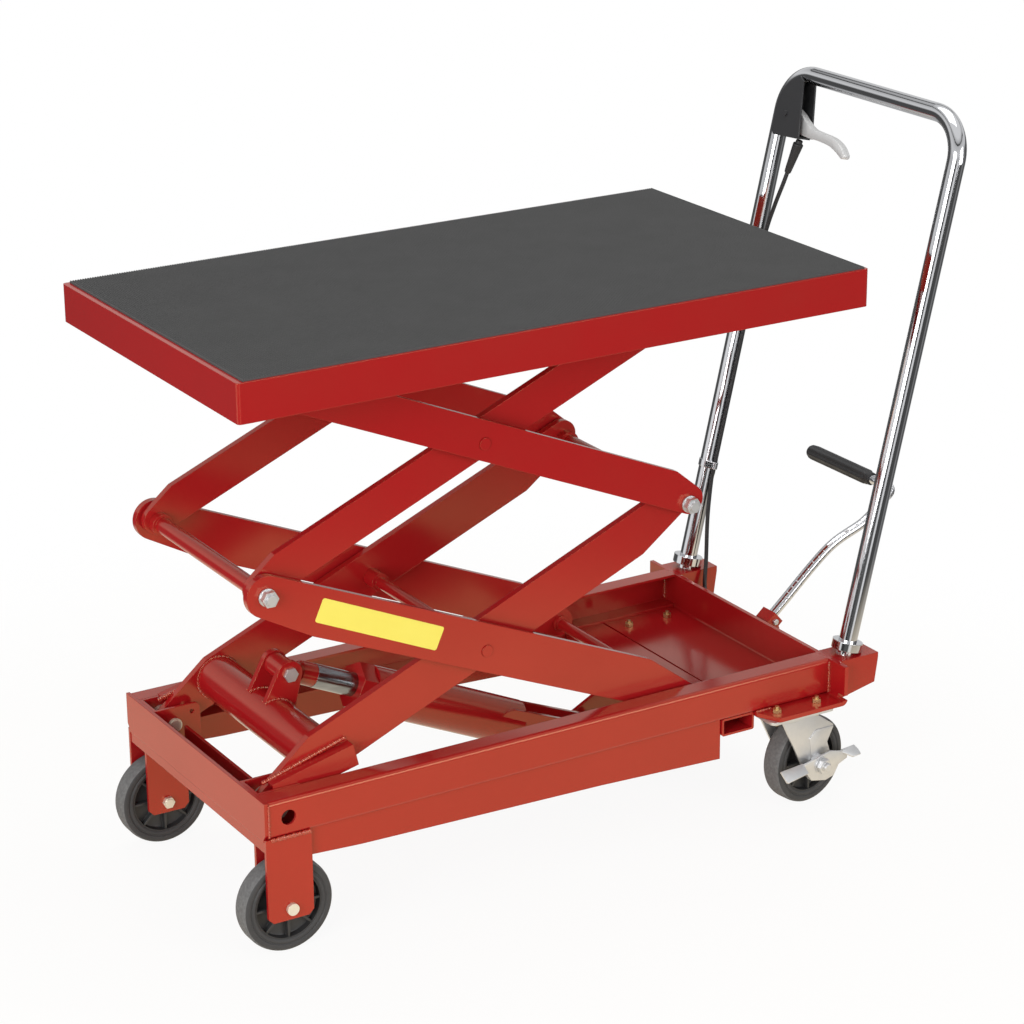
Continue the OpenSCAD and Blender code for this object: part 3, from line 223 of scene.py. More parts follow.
# Moulded soft rubber of the pedal's grip and the boot: near black with a wide, weak highlight
BLACK_RUBBER = Finish("soft_black_rubber", "#2c2c2d", "#232324", (0.45, 0.6), mottle_mm=20, grain_mm=1.5,
    grain_depth_mm=0.04, edge_mm=0.4)
# Extruded plastic sheath of the cable: smooth and near black, with a thin line of light along it
CABLE_SHEATH = Finish("cable_sheath", "#2c2d2f", "#232426", (0.3, 0.42), mottle_mm=40, grain_mm=2,
    grain_depth_mm=0.01, edge_mm=0.2)
# Cast and tumbled aluminium of the hand lever: pale and dull
CAST_ALUMINIUM = Finish("tumbled_aluminium", "#e4e4e3", "#d6d6d6", (0.34, 0.46), metallic=0.4, mottle_mm=25,
    grain_mm=1.6, grain_depth_mm=0.03, edge_mm=0.8)
# Baked satin paint on the release lever's bracket: charcoal with a soft shine
BLACK_PAINT = Finish("satin_black_paint", "#363638", "#2c2c2e", (0.3, 0.42), coat=0.1, mottle_mm=30,
    grain_mm=3, grain_depth_mm=0.02, edge_mm=0.8)
# Sand-cast iron of the pump under thin paint: a rough, nearly dull dark grey
CAST_IRON = Finish("cast_iron", "#2c2d2f", "#222325", (0.5, 0.65), mottle_mm=20, grain_mm=2,
    grain_depth_mm=0.15, edge_mm=1.5)
# Vinyl strip with nothing on it: lemon yellow, satin
YELLOW_VINYL = Finish("yellow_vinyl", "#f6e868", "#f0df58", (0.3, 0.4), mottle_mm=60, grain_mm=3,
    grain_depth_mm=0.01, edge_mm=0.3)

SLOT_FINISH: dict[str, Finish] = {"red_paint": RED_ENAMEL, "zinc_steel": ZINC, "chrome": CHROME,
    "roller_steel": TURNED_STEEL, "wheel_rubber": WHEEL_RUBBER, "mat_rubber": MAT_RUBBER,
    "black_rubber": BLACK_RUBBER, "cast_aluminium": CAST_ALUMINIUM, "black_paint": BLACK_PAINT,
    "pump_iron": CAST_IRON}
NODE_FINISH: dict[str, Finish] = {"deck_bolts": YELLOW_ZINC, "base_pins": PALE_ZINC}


def publish(bm: bmesh.types.BMesh, name: str, finishes: Sequence[Finish], body: str,
            replaces: Iterable[str] = (), crease: float = 35.0) -> bpy.types.Object:
    """Makes an object of a finished bmesh, dresses it and fixes it to a body.

    Args:
        bm: mesh in metres, in the frame of the part; it is freed.
        name: name of the piece.
        finishes: finishes in the order of the faces' material indices.
        body: body that the piece moves with.
        replaces: nodes of the frame that the piece stands for.
        crease: angle in degrees over which an edge stays sharp.

    Returns:
        The new object.
    """
    mesh = bpy.data.meshes.new(name)
    bm.to_mesh(mesh)
    bm.free()
    mesh.polygons.foreach_set("use_smooth", [True] * len(mesh.polygons))
    mesh.set_sharp_from_angle(angle=math.radians(crease))
    for finish in finishes:
        mesh.materials.append(finish.make())
    piece = bpy.data.objects.new(name, mesh)
    bpy.context.scene.collection.objects.link(piece)
    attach(piece, body)
    nodes = list(replaces)
    if nodes:
        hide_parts(*nodes)
    LOG.info("%s: %d faces on %s", name, len(mesh.polygons), body)
    return piece


def spun(profile: Sequence[tuple[float, float]], steps: int = 64, closed: bool = True) -> bmesh.types.BMesh:
    """Spins a profile about Z.

    Args:
        profile: points (radius, height) in millimetres.
        steps: steps of the full turn.
        closed: whether the last point joins the first.

    Returns:
        The spun mesh, in metres.
    """
    bm = bmesh.new()
    verts = [bm.verts.new((r * MM, 0.0, z * MM)) for r, z in profile]
    edges = [bm.edges.new(pair) for pair in zip(verts, verts[1:])]
    if closed:
        edges.append(bm.edges.new((verts[-1], verts[0])))
    bmesh.ops.spin(bm, geom=verts + edges, cent=(0, 0, 0), axis=(0, 0, 1), dvec=(0, 0, 0),
        angle=2 * math.pi, steps=steps, use_merge=True, use_duplicate=False)
    bmesh.ops.remove_doubles(bm, verts=bm.verts, dist=1e-6)
    bmesh.ops.recalc_face_normals(bm, faces=bm.faces)
    return bm


def plate(outline: Sequence[tuple[float, float]], low: float, high: float, bevel: float = 0.6,
          corner: float = 0.0) -> bmesh.types.BMesh:
    """Extrudes an outline along Z and rounds its edges.

    Args:
        outline: points (x, y) in millimetres, in order.
        low: height of the lower face in millimetres.
        high: height of the upper face in millimetres.
        bevel: rounding of the faces' edges in millimetres, none at 0.
        corner: rounding of the outline's corners in millimetres, none at 0.

    Returns:
        The plate, in metres.
    """
    bm = bmesh.new()
    face = bm.faces.new([bm.verts.new((x * MM, y * MM, low * MM)) for x, y in outline])
    top = bmesh.ops.extrude_face_region(bm, geom=[face])
    verts = [g for g in top["geom"] if isinstance(g, bmesh.types.BMVert)]
    bmesh.ops.translate(bm, verts=verts, vec=(0, 0, (high - low) * MM))
    bmesh.ops.recalc_face_normals(bm, faces=bm.faces)
    if corner:
        posts = [e for e in bm.edges if abs(e.verts[0].co.z - e.verts[1].co.z) > 1e-7]
        bmesh.ops.bevel(bm, geom=posts, offset=corner * MM, affect="EDGES", segments=5, profile=0.5,
            material=-1)
    if bevel:
        rim = [e for e in bm.edges if e.calc_face_angle(0.0) > ROUNDED_EDGE]
        bmesh.ops.bevel(bm, geom=rim, offset=bevel * MM, affect="EDGES", segments=2, profile=0.5,
            material=-1)
    return bm


def joined(*parts: bmesh.types.BMesh) -> bmesh.types.BMesh:
    """Puts several meshes into one.

    Args:
        *parts: meshes; all but the first are freed.

    Returns:
        The first mesh, with the others in it.
    """
    whole = parts[0]
    for part in parts[1:]:
        spare = bpy.data.meshes.new("spare")
        part.to_mesh(spare)
        part.free()
        whole.from_mesh(spare)
        bpy.data.meshes.remove(spare)
    return whole


def moved(bm: bmesh.types.BMesh, matrix: Matrix) -> bmesh.types.BMesh:
    """Moves a whole mesh, and keeps its faces outwards where the matrix mirrors it.

    Args:
        bm: mesh to move.
        matrix: where it goes.

    Returns:
        The same mesh.
    """
    bmesh.ops.transform(bm, matrix=matrix, verts=bm.verts)
    if matrix.determinant() < 0:
        bmesh.ops.reverse_faces(bm, faces=bm.faces)
    return bm


def along(start: Vector, direction: Vector) -> Matrix:
    """Matrix that puts the origin at start and +Z along a direction."""
    return Matrix.Translation(start) @ direction.to_track_quat("Z", "Y").to_matrix().to_4x4()


def upright(y: float) -> Matrix:
    """Matrix that stands an outline (x, y) in the side plane (x, z) at a Y in millimetres, thick towards -Y."""
    return Matrix.Translation((0, y * MM, 0)) @ Matrix.Rotation(math.pi / 2, 4, "X")


def on_handle(y: float, v: float, n: float = 0.0) -> Vector:
    """A point of the handle's leaning plane.

    Args:
        y: place across the handle in millimetres.
        v: height along the handle in millimetres.
        n: depth behind the plane in millimetres.

    Returns:
        The point in metres.
    """
    s, c = math.sin(HANDLE_LEAN), math.cos(HANDLE_LEAN)
    return Vector((HANDLE_X + v * s + n * c, y, RAIL_TOP + v * c - n * s)) * MM


def smooth(points: Sequence[Vector], steps: int) -> list[Vector]:
    """A curve through the points.

    Args:
        points: points that the curve passes.
        steps: points of the curve to each piece.

    Returns:
        The curve's points.
    """
    out: list[Vector] = []
    last = len(points) - 1
    for i in range(last):
        a, b, c, d = points[max(i - 1, 0)], points[i], points[i + 1], points[min(i + 2, last)]
        for k in range(steps):
            t = k / steps
            out.append(0.5 * (2 * b + (c - a) * t + (2 * a - 5 * b + 4 * c - d) * t**2
                + (3 * b - a - 3 * c + d) * t**3))
    return out + [points[last]]


def tube(path: Sequence[Vector], radius: float, sides: int = 20) -> bmesh.types.BMesh:
    """A round tube along a path, with closed ends.

    Args:
        path: points in metres.
        radius: radius in millimetres.
        sides: sides of the section.

    Returns:
        The tube.
    """
    bm = bmesh.new()
    last = len(path) - 1
    first = (path[1] - path[0]).normalized()
    bmesh.ops.create_circle(bm, cap_ends=True, segments=sides, radius=radius * MM,
        matrix=along(path[0], first))
    faces = list(bm.faces)
    turn = first.to_track_quat("Z", "Y")
    for i in range(1, last + 1):
        heading = (path[min(i + 1, last)] - path[i - 1]).normalized()
        new_turn = (turn @ Vector((0, 0, 1))).rotation_difference(heading) @ turn
        step = bmesh.ops.extrude_face_region(bm, geom=faces[-1:])
        grown = [g for g in step["geom"] if isinstance(g, bmesh.types.BMVert)]
        matrix = (Matrix.Translation(path[i]) @ (new_turn @ turn.inverted()).to_matrix().to_4x4()
            @ Matrix.Translation(-path[i - 1]))
        bmesh.ops.transform(bm, matrix=matrix, verts=grown)
        faces = [g for g in step["geom"] if isinstance(g, bmesh.types.BMFace)]
        turn = new_turn
    bmesh.ops.recalc_face_normals(bm, faces=bm.faces)
    return bm


def weld_bead(start: Vector, end: Vector, radius: float) -> bmesh.types.BMesh:
    """A weld: overlapping flat drops along a line.

    Args:
        start: first end in metres.
        end: other end in metres.
        radius: radius of a drop in millimetres.

    Returns:
        The bead.
    """
    bm = bmesh.new()
    run = end - start
    # The drops stand nine tenths of a radius apart, and no two neighbours are of one size
    count = max(2, int(run.length / (radius * 0.9 * MM)))
    base = along(start, run.normalized())
    for i in range(count + 1):
        size = 1.0 + 0.16 * math.sin(i * 2.4) + 0.1 * math.sin(i * 5.3)
        drop = (base @ Matrix.Translation((0, 0, run.length * i / count))
            @ Matrix.Diagonal((size, size, 0.8, 1)))
        bmesh.ops.create_icosphere(bm, subdivisions=2, radius=radius * MM, matrix=drop)
    return bm


def joint_place(name: str) -> tuple[Vector, Vector]:
    """Place and axis of a joint, in metres."""
    return Vector(JOINTS[name]["pos_m"]), Vector(JOINTS[name]["axis"]).normalized()


def turned(s: float, off: float) -> tuple[float, float]:
    """Place (x, z) in millimetres of a point of the lower inner arms, along and off their pivot line."""
    c, n = math.cos(ARM_ANGLE), math.sin(ARM_ANGLE)
    return PIVOT[0] + s * c - off * n, PIVOT[1] + s * n + off * c


@dataclass
class RibbedMat:
    """The rubber mat on the platform, ribbed across its length."""

    pitch: float = 3.4
    depth: float = 1.0

    def build(self) -> None:
        """Models the mat: a ribbed top, sides and an underside."""
        low, high = (Vector(c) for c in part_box("platform_mat"))
        count = int((high.x - low.x) / (self.pitch * MM))
        bm = bmesh.new()
        bmesh.ops.create_grid(bm, x_segments=4 * count, y_segments=1, size=0.5)
        bm.verts.ensure_lookup_table()
        centre = (low + high) / 2
        for vert in bm.verts:
            # Four strips to a rib: two slopes, its top and its groove
            phase = round((vert.co.x + 0.5) * 4 * count) % 4
            vert.co.z = -self.depth * MM if phase in (0, 3) else 0.0
        bmesh.ops.transform(bm, verts=bm.verts, matrix=Matrix.Translation((centre.x, centre.y, high.z))
            @ Matrix.Diagonal((high.x - low.x, high.y - low.y, 1, 1)))
        rim = [e for e in bm.edges if e.is_boundary]
        skirt = bmesh.ops.extrude_edge_only(bm, edges=rim)
        lower = [g for g in skirt["geom"] if isinstance(g, bmesh.types.BMVert)]
        for vert in lower:
            vert.co.z = low.z
        bmesh.ops.holes_fill(bm, edges=[e for e in bm.edges if e.is_boundary], sides=0)
        bmesh.ops.recalc_face_normals(bm, faces=bm.faces)
        publish(bm, "ribbed_mat", [MAT_RUBBER], "platform", ["platform_mat"], crease=25)


@dataclass
class SpokedWheel:
    """A moulded wheel: a rubber tyre on a core with a hub, a web and ribs."""

    name: str
    width: float
    hub_width: float
    radius: float = WHEEL_RADIUS
    ribs: int = 8

    def tyre(self) -> bmesh.types.BMesh:
        """Spins the tyre, and gives its tread the second finish.

        Returns:
            The tyre about Z, in metres.
        """
        r, h = self.radius, self.width / 2
        half = [(r - 17, 2.5 - h), (r - 15.5, 1.0 - h), (r - 13.5, 0.4 - h), (r - 12, 0.8 - h),
            (r - 11.2, 1.8 - h), (r - 10, 1.8 - h), (r - 9, 0.7 - h), (r - 6.5, 0.2 - h), (r - 4, 0.5 - h),
            (r - 2.2, 1.6 - h), (r - 1.0, 3.2 - h), (r - 0.4, 5.2 - h), (r, 8.0 - h)]
        bm = spun(half + [(a, -b) for a, b in reversed(half)], 96)
        for face in bm.faces:
            middle = face.calc_center_median()
            if math.hypot(middle.x, middle.y) > (r - 2.4) * MM:
                face.material_index = 1
        return bm

    def core(self) -> bmesh.types.BMesh:
        """Spins the hub, web and rim, and sets the ribs between them.

        Returns:
            The core about Z, in metres.
        """
        r, h, k = self.radius - 16.8, self.width / 2, self.hub_width / 2
        half = [(6.1, -k), (14.5, -k), (16.5, 1.5 - k), (18, -4.6), (19.5, -4), (r - 4, -4), (r - 2.5, -4.8),
            (r - 1.5, 2.2 - h), (r, 2.0 - h)]
        body = spun(half + [(a, -b) for a, b in reversed(half)], 72)
        for i in range(self.ribs):
            rib = plate([(15, -2.4), (r - 1, -1.6), (r - 1, 1.6), (15, 2.4)], 3.2 - h, h - 3.2, 0.8)
            body = joined(body, moved(rib, Matrix.Rotation(2 * math.pi * i / self.ribs, 4, "Z")))
        return body

    def build(self) -> None:
        """Models the wheel in its place."""
        place, axis = joint_place(self.name + "_spin")
        matrix = along(place, axis)
        publish(moved(self.tyre(), matrix), self.name + "_tyre", [WHEEL_RUBBER, TREAD_RUBBER], self.name,
            [self.name])
        publish(moved(self.core(), matrix), self.name + "_core", [WHEEL_CORE], self.name, ())


@dataclass
class Caster:
    """A swivel caster of pressed, zinc plated steel with a brake lever."""

    side: Side
    wheel_width: float = 32.0
    hub_width: float = 44.0
    leg: float = 3.5
    leg_gap: float = 0.3
    crown: float = 141.0
    crown_front: float = -21.0
    crown_rear: float = 36.0
    brake_gap: float = 8.0
    sheet: float = 3.0

    @property
    def leg_inside(self) -> float:
        """Distance of a leg's inner face from the wheel's middle, in millimetres."""
        return self.hub_width / 2 + self.leg_gap

    @property
    def leg_outside(self) -> float:
        """Distance of a leg's outer face from the wheel's middle, in millimetres."""
        return self.leg_inside + self.leg

    def axle(self, trail: float) -> Matrix:
        """Matrix that puts the origin on the wheel's axle and +Z along it."""
        return Matrix.Translation((trail * MM, 0, WHEEL_RADIUS * MM)) @ Matrix.Rotation(-math.pi / 2, 4, "X")

    def place(self) -> tuple[Matrix, float]:
        """Finds the caster's own frame, which has its origin under the swivel and +X towards the wheel.

        Returns:
            Matrix from that frame, and the wheel's trail in millimetres.
        """
        swivel, _ = joint_place(f"caster_{self.side.value}_swivel")
        wheel, _ = joint_place(f"caster_wheel_{self.side.value}_spin")
        offset = wheel - swivel
        turn = Matrix.Rotation(math.atan2(offset.y, offset.x), 4, "Z")
        return Matrix.Translation((swivel.x, swivel.y, 0)) @ turn, math.hypot(offset.x, offset.y) / MM

    def fork(self, trail: float) -> bmesh.types.BMesh:
        """Builds a swivel race, a crown and two legs, each with a folded sheet on its rear half.

        Args:
            trail: the wheel's trail in millimetres.

        Returns:
            The fork in the caster's own frame.
        """
        y0, y1 = self.leg_inside, self.leg_outside
        front, rear, crown = self.crown_front, self.crown_rear, self.crown
        hub = [(trail + 15 * math.cos(a), WHEEL_RADIUS + 15 * math.sin(a)) for a in (math.radians(-20 - 13 * i)
            for i in range(11))]
        outline = [(front, crown), (rear, crown), (trail + 33, 110.5), (trail + 21, 88.5), (trail + 26, 73.5),
            *hub, (trail - 26, 63.5)]
        fold = [(31, 102), (43, 112), (trail + 31.5, 109), (trail + 20, 88.5), (trail + 25, 74),
            (trail + 13, 58), (trail - 8, 58)]
        race = [(0, 137.6), (29, 137.6), (33, 138.6), (34, 140), (34, 143.2), (32.6, 144.6), (0, 144.6)]
        bridge = [(front, -y1), (rear, -y1), (rear, y1), (front, y1)]
        parts = [spun(race, 64, closed=False), plate(bridge, crown - 4, crown + 0.2, 1.5, 5)]
        for sign in (-1.0, 1.0):
            flip = Matrix.Diagonal((1, sign, 1, 1))
            parts.append(moved(plate(outline, -y1, -y0, 1.0), flip @ upright(0)))
            parts.append(moved(plate(fold, -y1 - 1.4, -y1 + 0.5, 0.7), flip @ upright(0)))
        return joined(*parts)

    def brake(self, trail: float) -> bmesh.types.BMesh:
        """Builds a sheet on a boss, its folded lower edge, and a foot tab sloping off each end.

        Args:
            trail: the wheel's trail in millimetres.

        Returns:
            The brake lever in the caster's own frame.
        """
        leg = self.leg_outside
        y = leg + self.brake_gap
        web = [(-36, 9), (-36, 5), (-17.5, -19), (9, -26), (25, -23), (34, -9), (50, -4), (50, 9), (37, 10),
            (17, 16)]
        hem = [(-36, 5), (-17.5, -19), (9, -26), (25, -23), (24, -20.2), (9, -23), (-16, -16.4), (-34.5, 7)]
        parts: list[bmesh.types.BMesh] = []
        for shape, low, high, bevel in ((web, -y - self.sheet, -y, 0.8), (hem, -y - 1, -leg - 2.4, 0.6)):
            sheet = plate([(trail + a, WHEEL_RADIUS + b) for a, b in shape], low, high, bevel)
            parts.append(moved(sheet, upright(0)))
        boss = spun([(6.4, leg + 1), (13, leg + 1), (13, y + 1), (6.4, y + 1)], 40)
        parts.append(moved(boss, self.axle(trail)))
        for x, slope, outline in ((trail - 75, 41, [(0, 0), (42, 0), (42, 16), (2, 19), (0, 17)]),
                (trail + 41, 43, [(0, 0), (24, 0), (27, 8), (27, 16), (12, 16), (0, 6)])):
            tab = plate(outline, -self.sheet, 0, 0.8)
            parts.append(moved(tab, Matrix.Translation((x * MM, (y + 0.5) * MM, 73.5 * MM))
                @ Matrix.Rotation(math.radians(-slope), 4, "X")))
        return joined(*parts)

    def bolt(self, trail: float) -> bmesh.types.BMesh:
        """Builds a washer, a hex nut and a thread end outside the brake, and a hex head inside.

        Args:
            trail: the wheel's trail in millimetres.

        Returns:
            The axle bolt in the caster's own frame.
        """
        y = self.leg_outside
        head = y + self.brake_gap + self.sheet + 0.3
        washer = [(6, head - 0.2), (12.4, head - 0.2), (12.4, head + 1.2), (6, head + 1.2)]
        nut = [(6, head + 1.2), (9.6, head + 1.2), (10.9, head + 2), (10.9, head + 7.6), (9.6, head + 8.6),
            (6, head + 8.6)]
        shaft = [(0, -y - 8), (5.6, -y - 8), (6, -y - 7.4), (6, head + 12.8), (4.9, head + 14), (0, head + 14)]
        inner = [(6, -y - 7), (9.6, -y - 7), (10.4, -y - 6), (10.4, -y - 0.2), (6, -y - 0.2)]
        turnings = [spun(profile, steps, closed=False)
            for profile, steps in ((washer, 40), (nut, 6), (shaft, 32), (inner, 6))]
        return moved(joined(*turnings), self.axle(trail))

    def build(self) -> None:
        """Models the caster's fork, brake, bolt and wheel."""
        matrix, trail = self.place()
        name = self.side.value
        outward = Matrix.Diagonal((1, self.side.sign, 1, 1))
        publish(moved(self.fork(trail), matrix), f"caster_fork_{name}_pressing", [ZINC], f"caster_{name}",
            [f"caster_fork_{name}"])
        publish(moved(self.bolt(trail), matrix @ outward), f"caster_axle_{name}", [ZINC], f"caster_{name}",
            (), 25)
        publish(moved(self.brake(trail), matrix @ outward), f"caster_brake_{name}_lever", [ZINC],
            f"caster_brake_{name}", [f"caster_brake_{name}"])
        SpokedWheel(f"caster_wheel_{name}", self.wheel_width, self.hub_width).build()


@dataclass
class PedalSet:
    """The foot pedal: a bent chrome bar with a fluted rubber grip and a set screw."""

    bar_radius: float = 7.0
    grip_radius: float = 11.5
    grip_start: float = 22.0
    grip_length: float = 150.0
    flutes: int = 8
    flute_depth: float = 1.1
    grip_x: float = REAR_X + 233
    grip_z: float = RAIL_TOP + 147
    y: float = -30.0
    tilt: float = math.radians(41)
    bend: float = 16.0
    bend_rise: float = 8.0
    screw: tuple[float, float, float] = (REAR_X + 17.5, -44.0, RAIL_TOP - 4.7)

    def path(self) -> list[Vector]:
        """Runs the bar from its socket through a smooth rise, and round a bend into the grip.

        Returns:
            Points of the bar's centreline, in metres.
        """
        mouth = Vector((REAR_X + 24, self.y, RAIL_TOP + 1))
        rise = Vector((math.cos(self.tilt), 0, math.sin(self.tilt)))
        knots = [mouth + 22 * rise, Vector((REAR_X + 118, self.y, RAIL_TOP + 81)),
            Vector((REAR_X + 181, self.y, RAIL_TOP + 109))]
        end = Vector((self.grip_x, self.y, self.grip_z))
        quarter = [(1 - math.sin(a), 1 - math.cos(a)) for a in (math.radians(11.25 * i) for i in range(9))]
        bend = [end + Vector((-self.bend * s, self.bend * c, -self.bend_rise * s)) for s, c in quarter]
        points = [mouth - 13 * rise, *smooth([*knots, bend[0]], 10), *bend[1:],
            Vector((end.x, self.grip_start + self.grip_length - 12, end.z))]
        return [p * MM for p in points]

    def grip(self) -> bmesh.types.BMesh:
        """Spins a collar at the bar, a sleeve and a rounded end, and presses long flutes in.

        Returns:
            The grip along Z, in metres.
        """
        r, n = self.grip_radius, self.grip_length
        profile = [(self.bar_radius + 0.1, 0), (r - 3, 0), (r - 2.2, 0.8), (r - 2, 3), (r - 2, 9),
            (r - 0.3, 11), (r, 13), (r, 22), (r, n - 24), (r, n - 12), (r - 0.6, n - 7), (r - 2.4, n - 3),
            (r - 4.5, n - 0.8), (r - 7, n), (0, n)]
        bm = spun(profile, 96, closed=False)
        for vert in bm.verts:
            reach = math.hypot(vert.co.x, vert.co.y) / MM
            if reach > r - 0.8:
                wave = math.cos(self.flutes * math.atan2(vert.co.y, vert.co.x))
                flute = self.flute_depth / 2 * (1 - wave)
                vert.co.x *= 1 - flute / reach
                vert.co.y *= 1 - flute / reach
        return bm

    def build(self) -> None:
        """Models the bar, the grip and the set screw."""
        publish(tube(self.path(), self.bar_radius, 28), "pedal_bar_chrome", [CHROME], "pedal", ["pedal_bar"])
        start = Vector((self.grip_x, self.grip_start, self.grip_z)) * MM
        publish(moved(self.grip(), along(start, Vector((0, 1, 0)))), "pedal_grip_fluted", [BLACK_RUBBER],
            "pedal", ["pedal_grip"])
        screw = spun([(0, -2), (4.2, -2), (4.2, 3.2), (3.4, 4), (0, 4)], 24, closed=False)
        publish(moved(screw, along(Vector(self.screw) * MM, Vector((0, -1, 0)))), "pedal_set_screw", [ZINC],
            "pedal", ())


@dataclass
class ReleaseSet:
    """The lowering control on the handle: hand lever, rivets, boot and cable."""

    bracket_foot: float = HANDLE_V - 93
    pivot_y: float = LEG_Y - 26.5
    pivot_v: float = HANDLE_V - 60
    lever_half: float = 6.0
    cheek: float = 15.1
    clip_v: float = 158.0
    cable_radius: float = 3.0

    def lever(self) -> bmesh.types.BMesh:
        """Lays out the tapering, S-curved lever.

        Returns:
            The lever laid in (y, v) and thick along Z, in metres.
        """
        v = HANDLE_V
        # Places across and along the handle, and half the lever's depth there
        knots = [Vector(p) for p in ((self.pivot_y, self.pivot_v, 12.5), (152, v - 65.5, 12.5),
            (138, v - 72, 11.5), (116, v - 77.5, 7.5), (94, v - 78.5, 6.2), (67, v - 80.5, 6.4),
            (48, v - 86.5, 6.2), (36, v - 94, 4.5))]
        line = smooth(knots, 4)
        upper: list[tuple[float, float]] = []
        lower: list[tuple[float, float]] = []
        for i, point in enumerate(line):
            step = line[min(i + 1, len(line) - 1)] - line[max(i - 1, 0)]
            across = Vector((-step.y, step.x)).normalized() * point.z
            upper.append((point.x + across.x, point.y + across.y))
            lower.append((point.x - across.x, point.y - across.y))
        tip = line[-1]
        head = math.atan2(upper[-1][1] - tip.y, upper[-1][0] - tip.x)
        cap = [(tip.x + tip.z * math.cos(a), tip.y + tip.z * math.sin(a))
            for a in (head - math.pi * k / 6 for k in range(1, 6))]
        return plate(upper + cap + lower[::-1], -self.lever_half, self.lever_half, 1.0)

    def boot_axis(self) -> tuple[Vector, Vector]:
        """Both ends of the boot, in metres."""
        return on_handle(141, self.bracket_foot + 1.6), on_handle(153.5, self.bracket_foot - 48)

    def boot(self) -> bmesh.types.BMesh:
        """Spins a ferrule and a smooth cone.

        Returns:
            The boot along Z, in metres.
        """
        top, end = self.boot_axis()
        n = (end - top).length / MM
        profile = [(0, 1), (4.6, 1), (5, 1.6), (5, 6), (6.9, 6.2), (7.5, 7.2), (7.4, 9), (5.0, n - 4),
            (4.7, n - 1.2), (4.1, n), (0, n)]
        return spun(profile, 32, closed=False)

    def cable(self) -> list[Vector]:
        """Leads the cable from the boot past the clip to the pump's valve.

        Returns:
            Points of the cable's centreline, in metres.
        """
        top, end = (p / MM for p in self.boot_axis())
        axis = (end - top).normalized()
        side = LEG_Y - HANDLE_RADIUS - self.cable_radius - 0.6
        clip = on_handle(side, self.clip_v) / MM
        lean = Vector((math.sin(HANDLE_LEAN), 0, math.cos(HANDLE_LEAN)))
        valve = Vector((REAR_X - 65, 52, 121))
        knots = [end - 9 * axis, end - 5 * axis, end - axis]
        knots += [on_handle(y, HANDLE_V - v) / MM for y, v in ((157.5, 158), (165, 186), (172.5, 222),
            (176, 262), (side - 0.3, 310))]
        knots += [clip + v * lean for v in (240, 140, 60, 24, 10, -10, -24)]
        knots += [Vector((REAR_X + x, y, z)) for x, y, z in ((50, 172, 290), (43, 164, 229), (37, 158, 190),
            (36, 147, 160), (30, 126, 136), (17, 101, 124), (-12, 82, 121), (-41, 78, 121))]
        knots += [valve + Vector((5, 21, 0)), valve + Vector((0, 8, 0)), valve]
        return [p * MM for p in smooth(knots, 8)]

    def rivets(self) -> bmesh.types.BMesh:
        """Sets a domed head of the lever's rivet on each cheek of the bracket.

        Returns:
            Both heads in their place.
        """
        parts: list[bmesh.types.BMesh] = []
        for sign in (-1.0, 1.0):
            out = (on_handle(0, 0, sign) - on_handle(0, 0)).normalized()
            dome = spun([(0, 0), (3.4, 0), (3.4, 0.4), (2.6, 1.1), (1.4, 1.5), (0, 1.6)], 24, closed=False)
            parts.append(moved(dome, along(on_handle(self.pivot_y, self.pivot_v, sign * self.cheek), out)))
        return joined(*parts)

    def build(self) -> None:
        """Models the lever, the rivets, the boot and the cable."""
        s, c = math.sin(HANDLE_LEAN), math.cos(HANDLE_LEAN)
        plane = Matrix(((0, s, c, HANDLE_X * MM), (1, 0, 0, 0), (0, c, -s, RAIL_TOP * MM), (0, 0, 0, 1)))
        publish(moved(self.lever(), plane), "release_lever_casting", [CAST_ALUMINIUM], "release_lever",
            ["release_lever"])
        publish(self.rivets(), "release_rivets", [BLACK_PAINT], "base", ())
        top, end = self.boot_axis()
        publish(moved(self.boot(), along(top, end - top)), "cable_boot_cone", [BLACK_RUBBER], "base",
            ["cable_boot"])
        publish(tube(self.cable(), self.cable_radius, 14), "release_cable_sheath", [CABLE_SHEATH], "base",
            ["release_cable"])


@dataclass
class CylinderRod:
    """The lift cylinder's rod: a painted eye and sleeve on a chromed bar."""

    eye: float = 15.5
    half: float = 17.5
    pin: float = 8.3
    sleeve: float = 15.6
    bar: float = 16.0
    piston: float = 26.6
    sleeve_end: float = 52.0
    piston_start: float = 234.0
    bar_end: float = 250.0

    def build(self) -> None:
        """Models the eye, the sleeve and the bar."""
        place, _ = joint_place("cylinder_pivot")
        matrix = along(place, Vector(JOINTS["cylinder_stroke"]["axis"]).normalized())
        e, h, s = self.eye, self.half, self.sleeve
        ring = spun([(self.pin, -h), (e - 1, -h), (e, 1 - h), (e, h - 1), (e - 1, h), (self.pin, h)], 56)
        ring = moved(ring, Matrix.Translation(place) @ Matrix.Rotation(-math.pi / 2, 4, "X"))
        neck = spun([(0, 11), (12, 11), (12, 18), (13.4, 18.6), (13.4, 23), (12.6, 24), (s - 1, 25.5),
            (s, 26.6), (s, self.sleeve_end - 1), (s - 1, self.sleeve_end), (0, self.sleeve_end)], 56,
            closed=False)
        publish(joined(ring, moved(neck, matrix)), "rod_eye_painted", [RED_ENAMEL], "cylinder_rod", ())
        bar = spun([(0, self.sleeve_end - 3), (self.bar, self.sleeve_end - 3), (self.bar, self.piston_start),
            (self.piston, self.piston_start), (self.piston, self.bar_end), (0, self.bar_end)], 72, closed=False)
        publish(moved(bar, matrix), "rod_chrome", [GROUND_BAR], "cylinder_rod", ["cylinder_rod"])


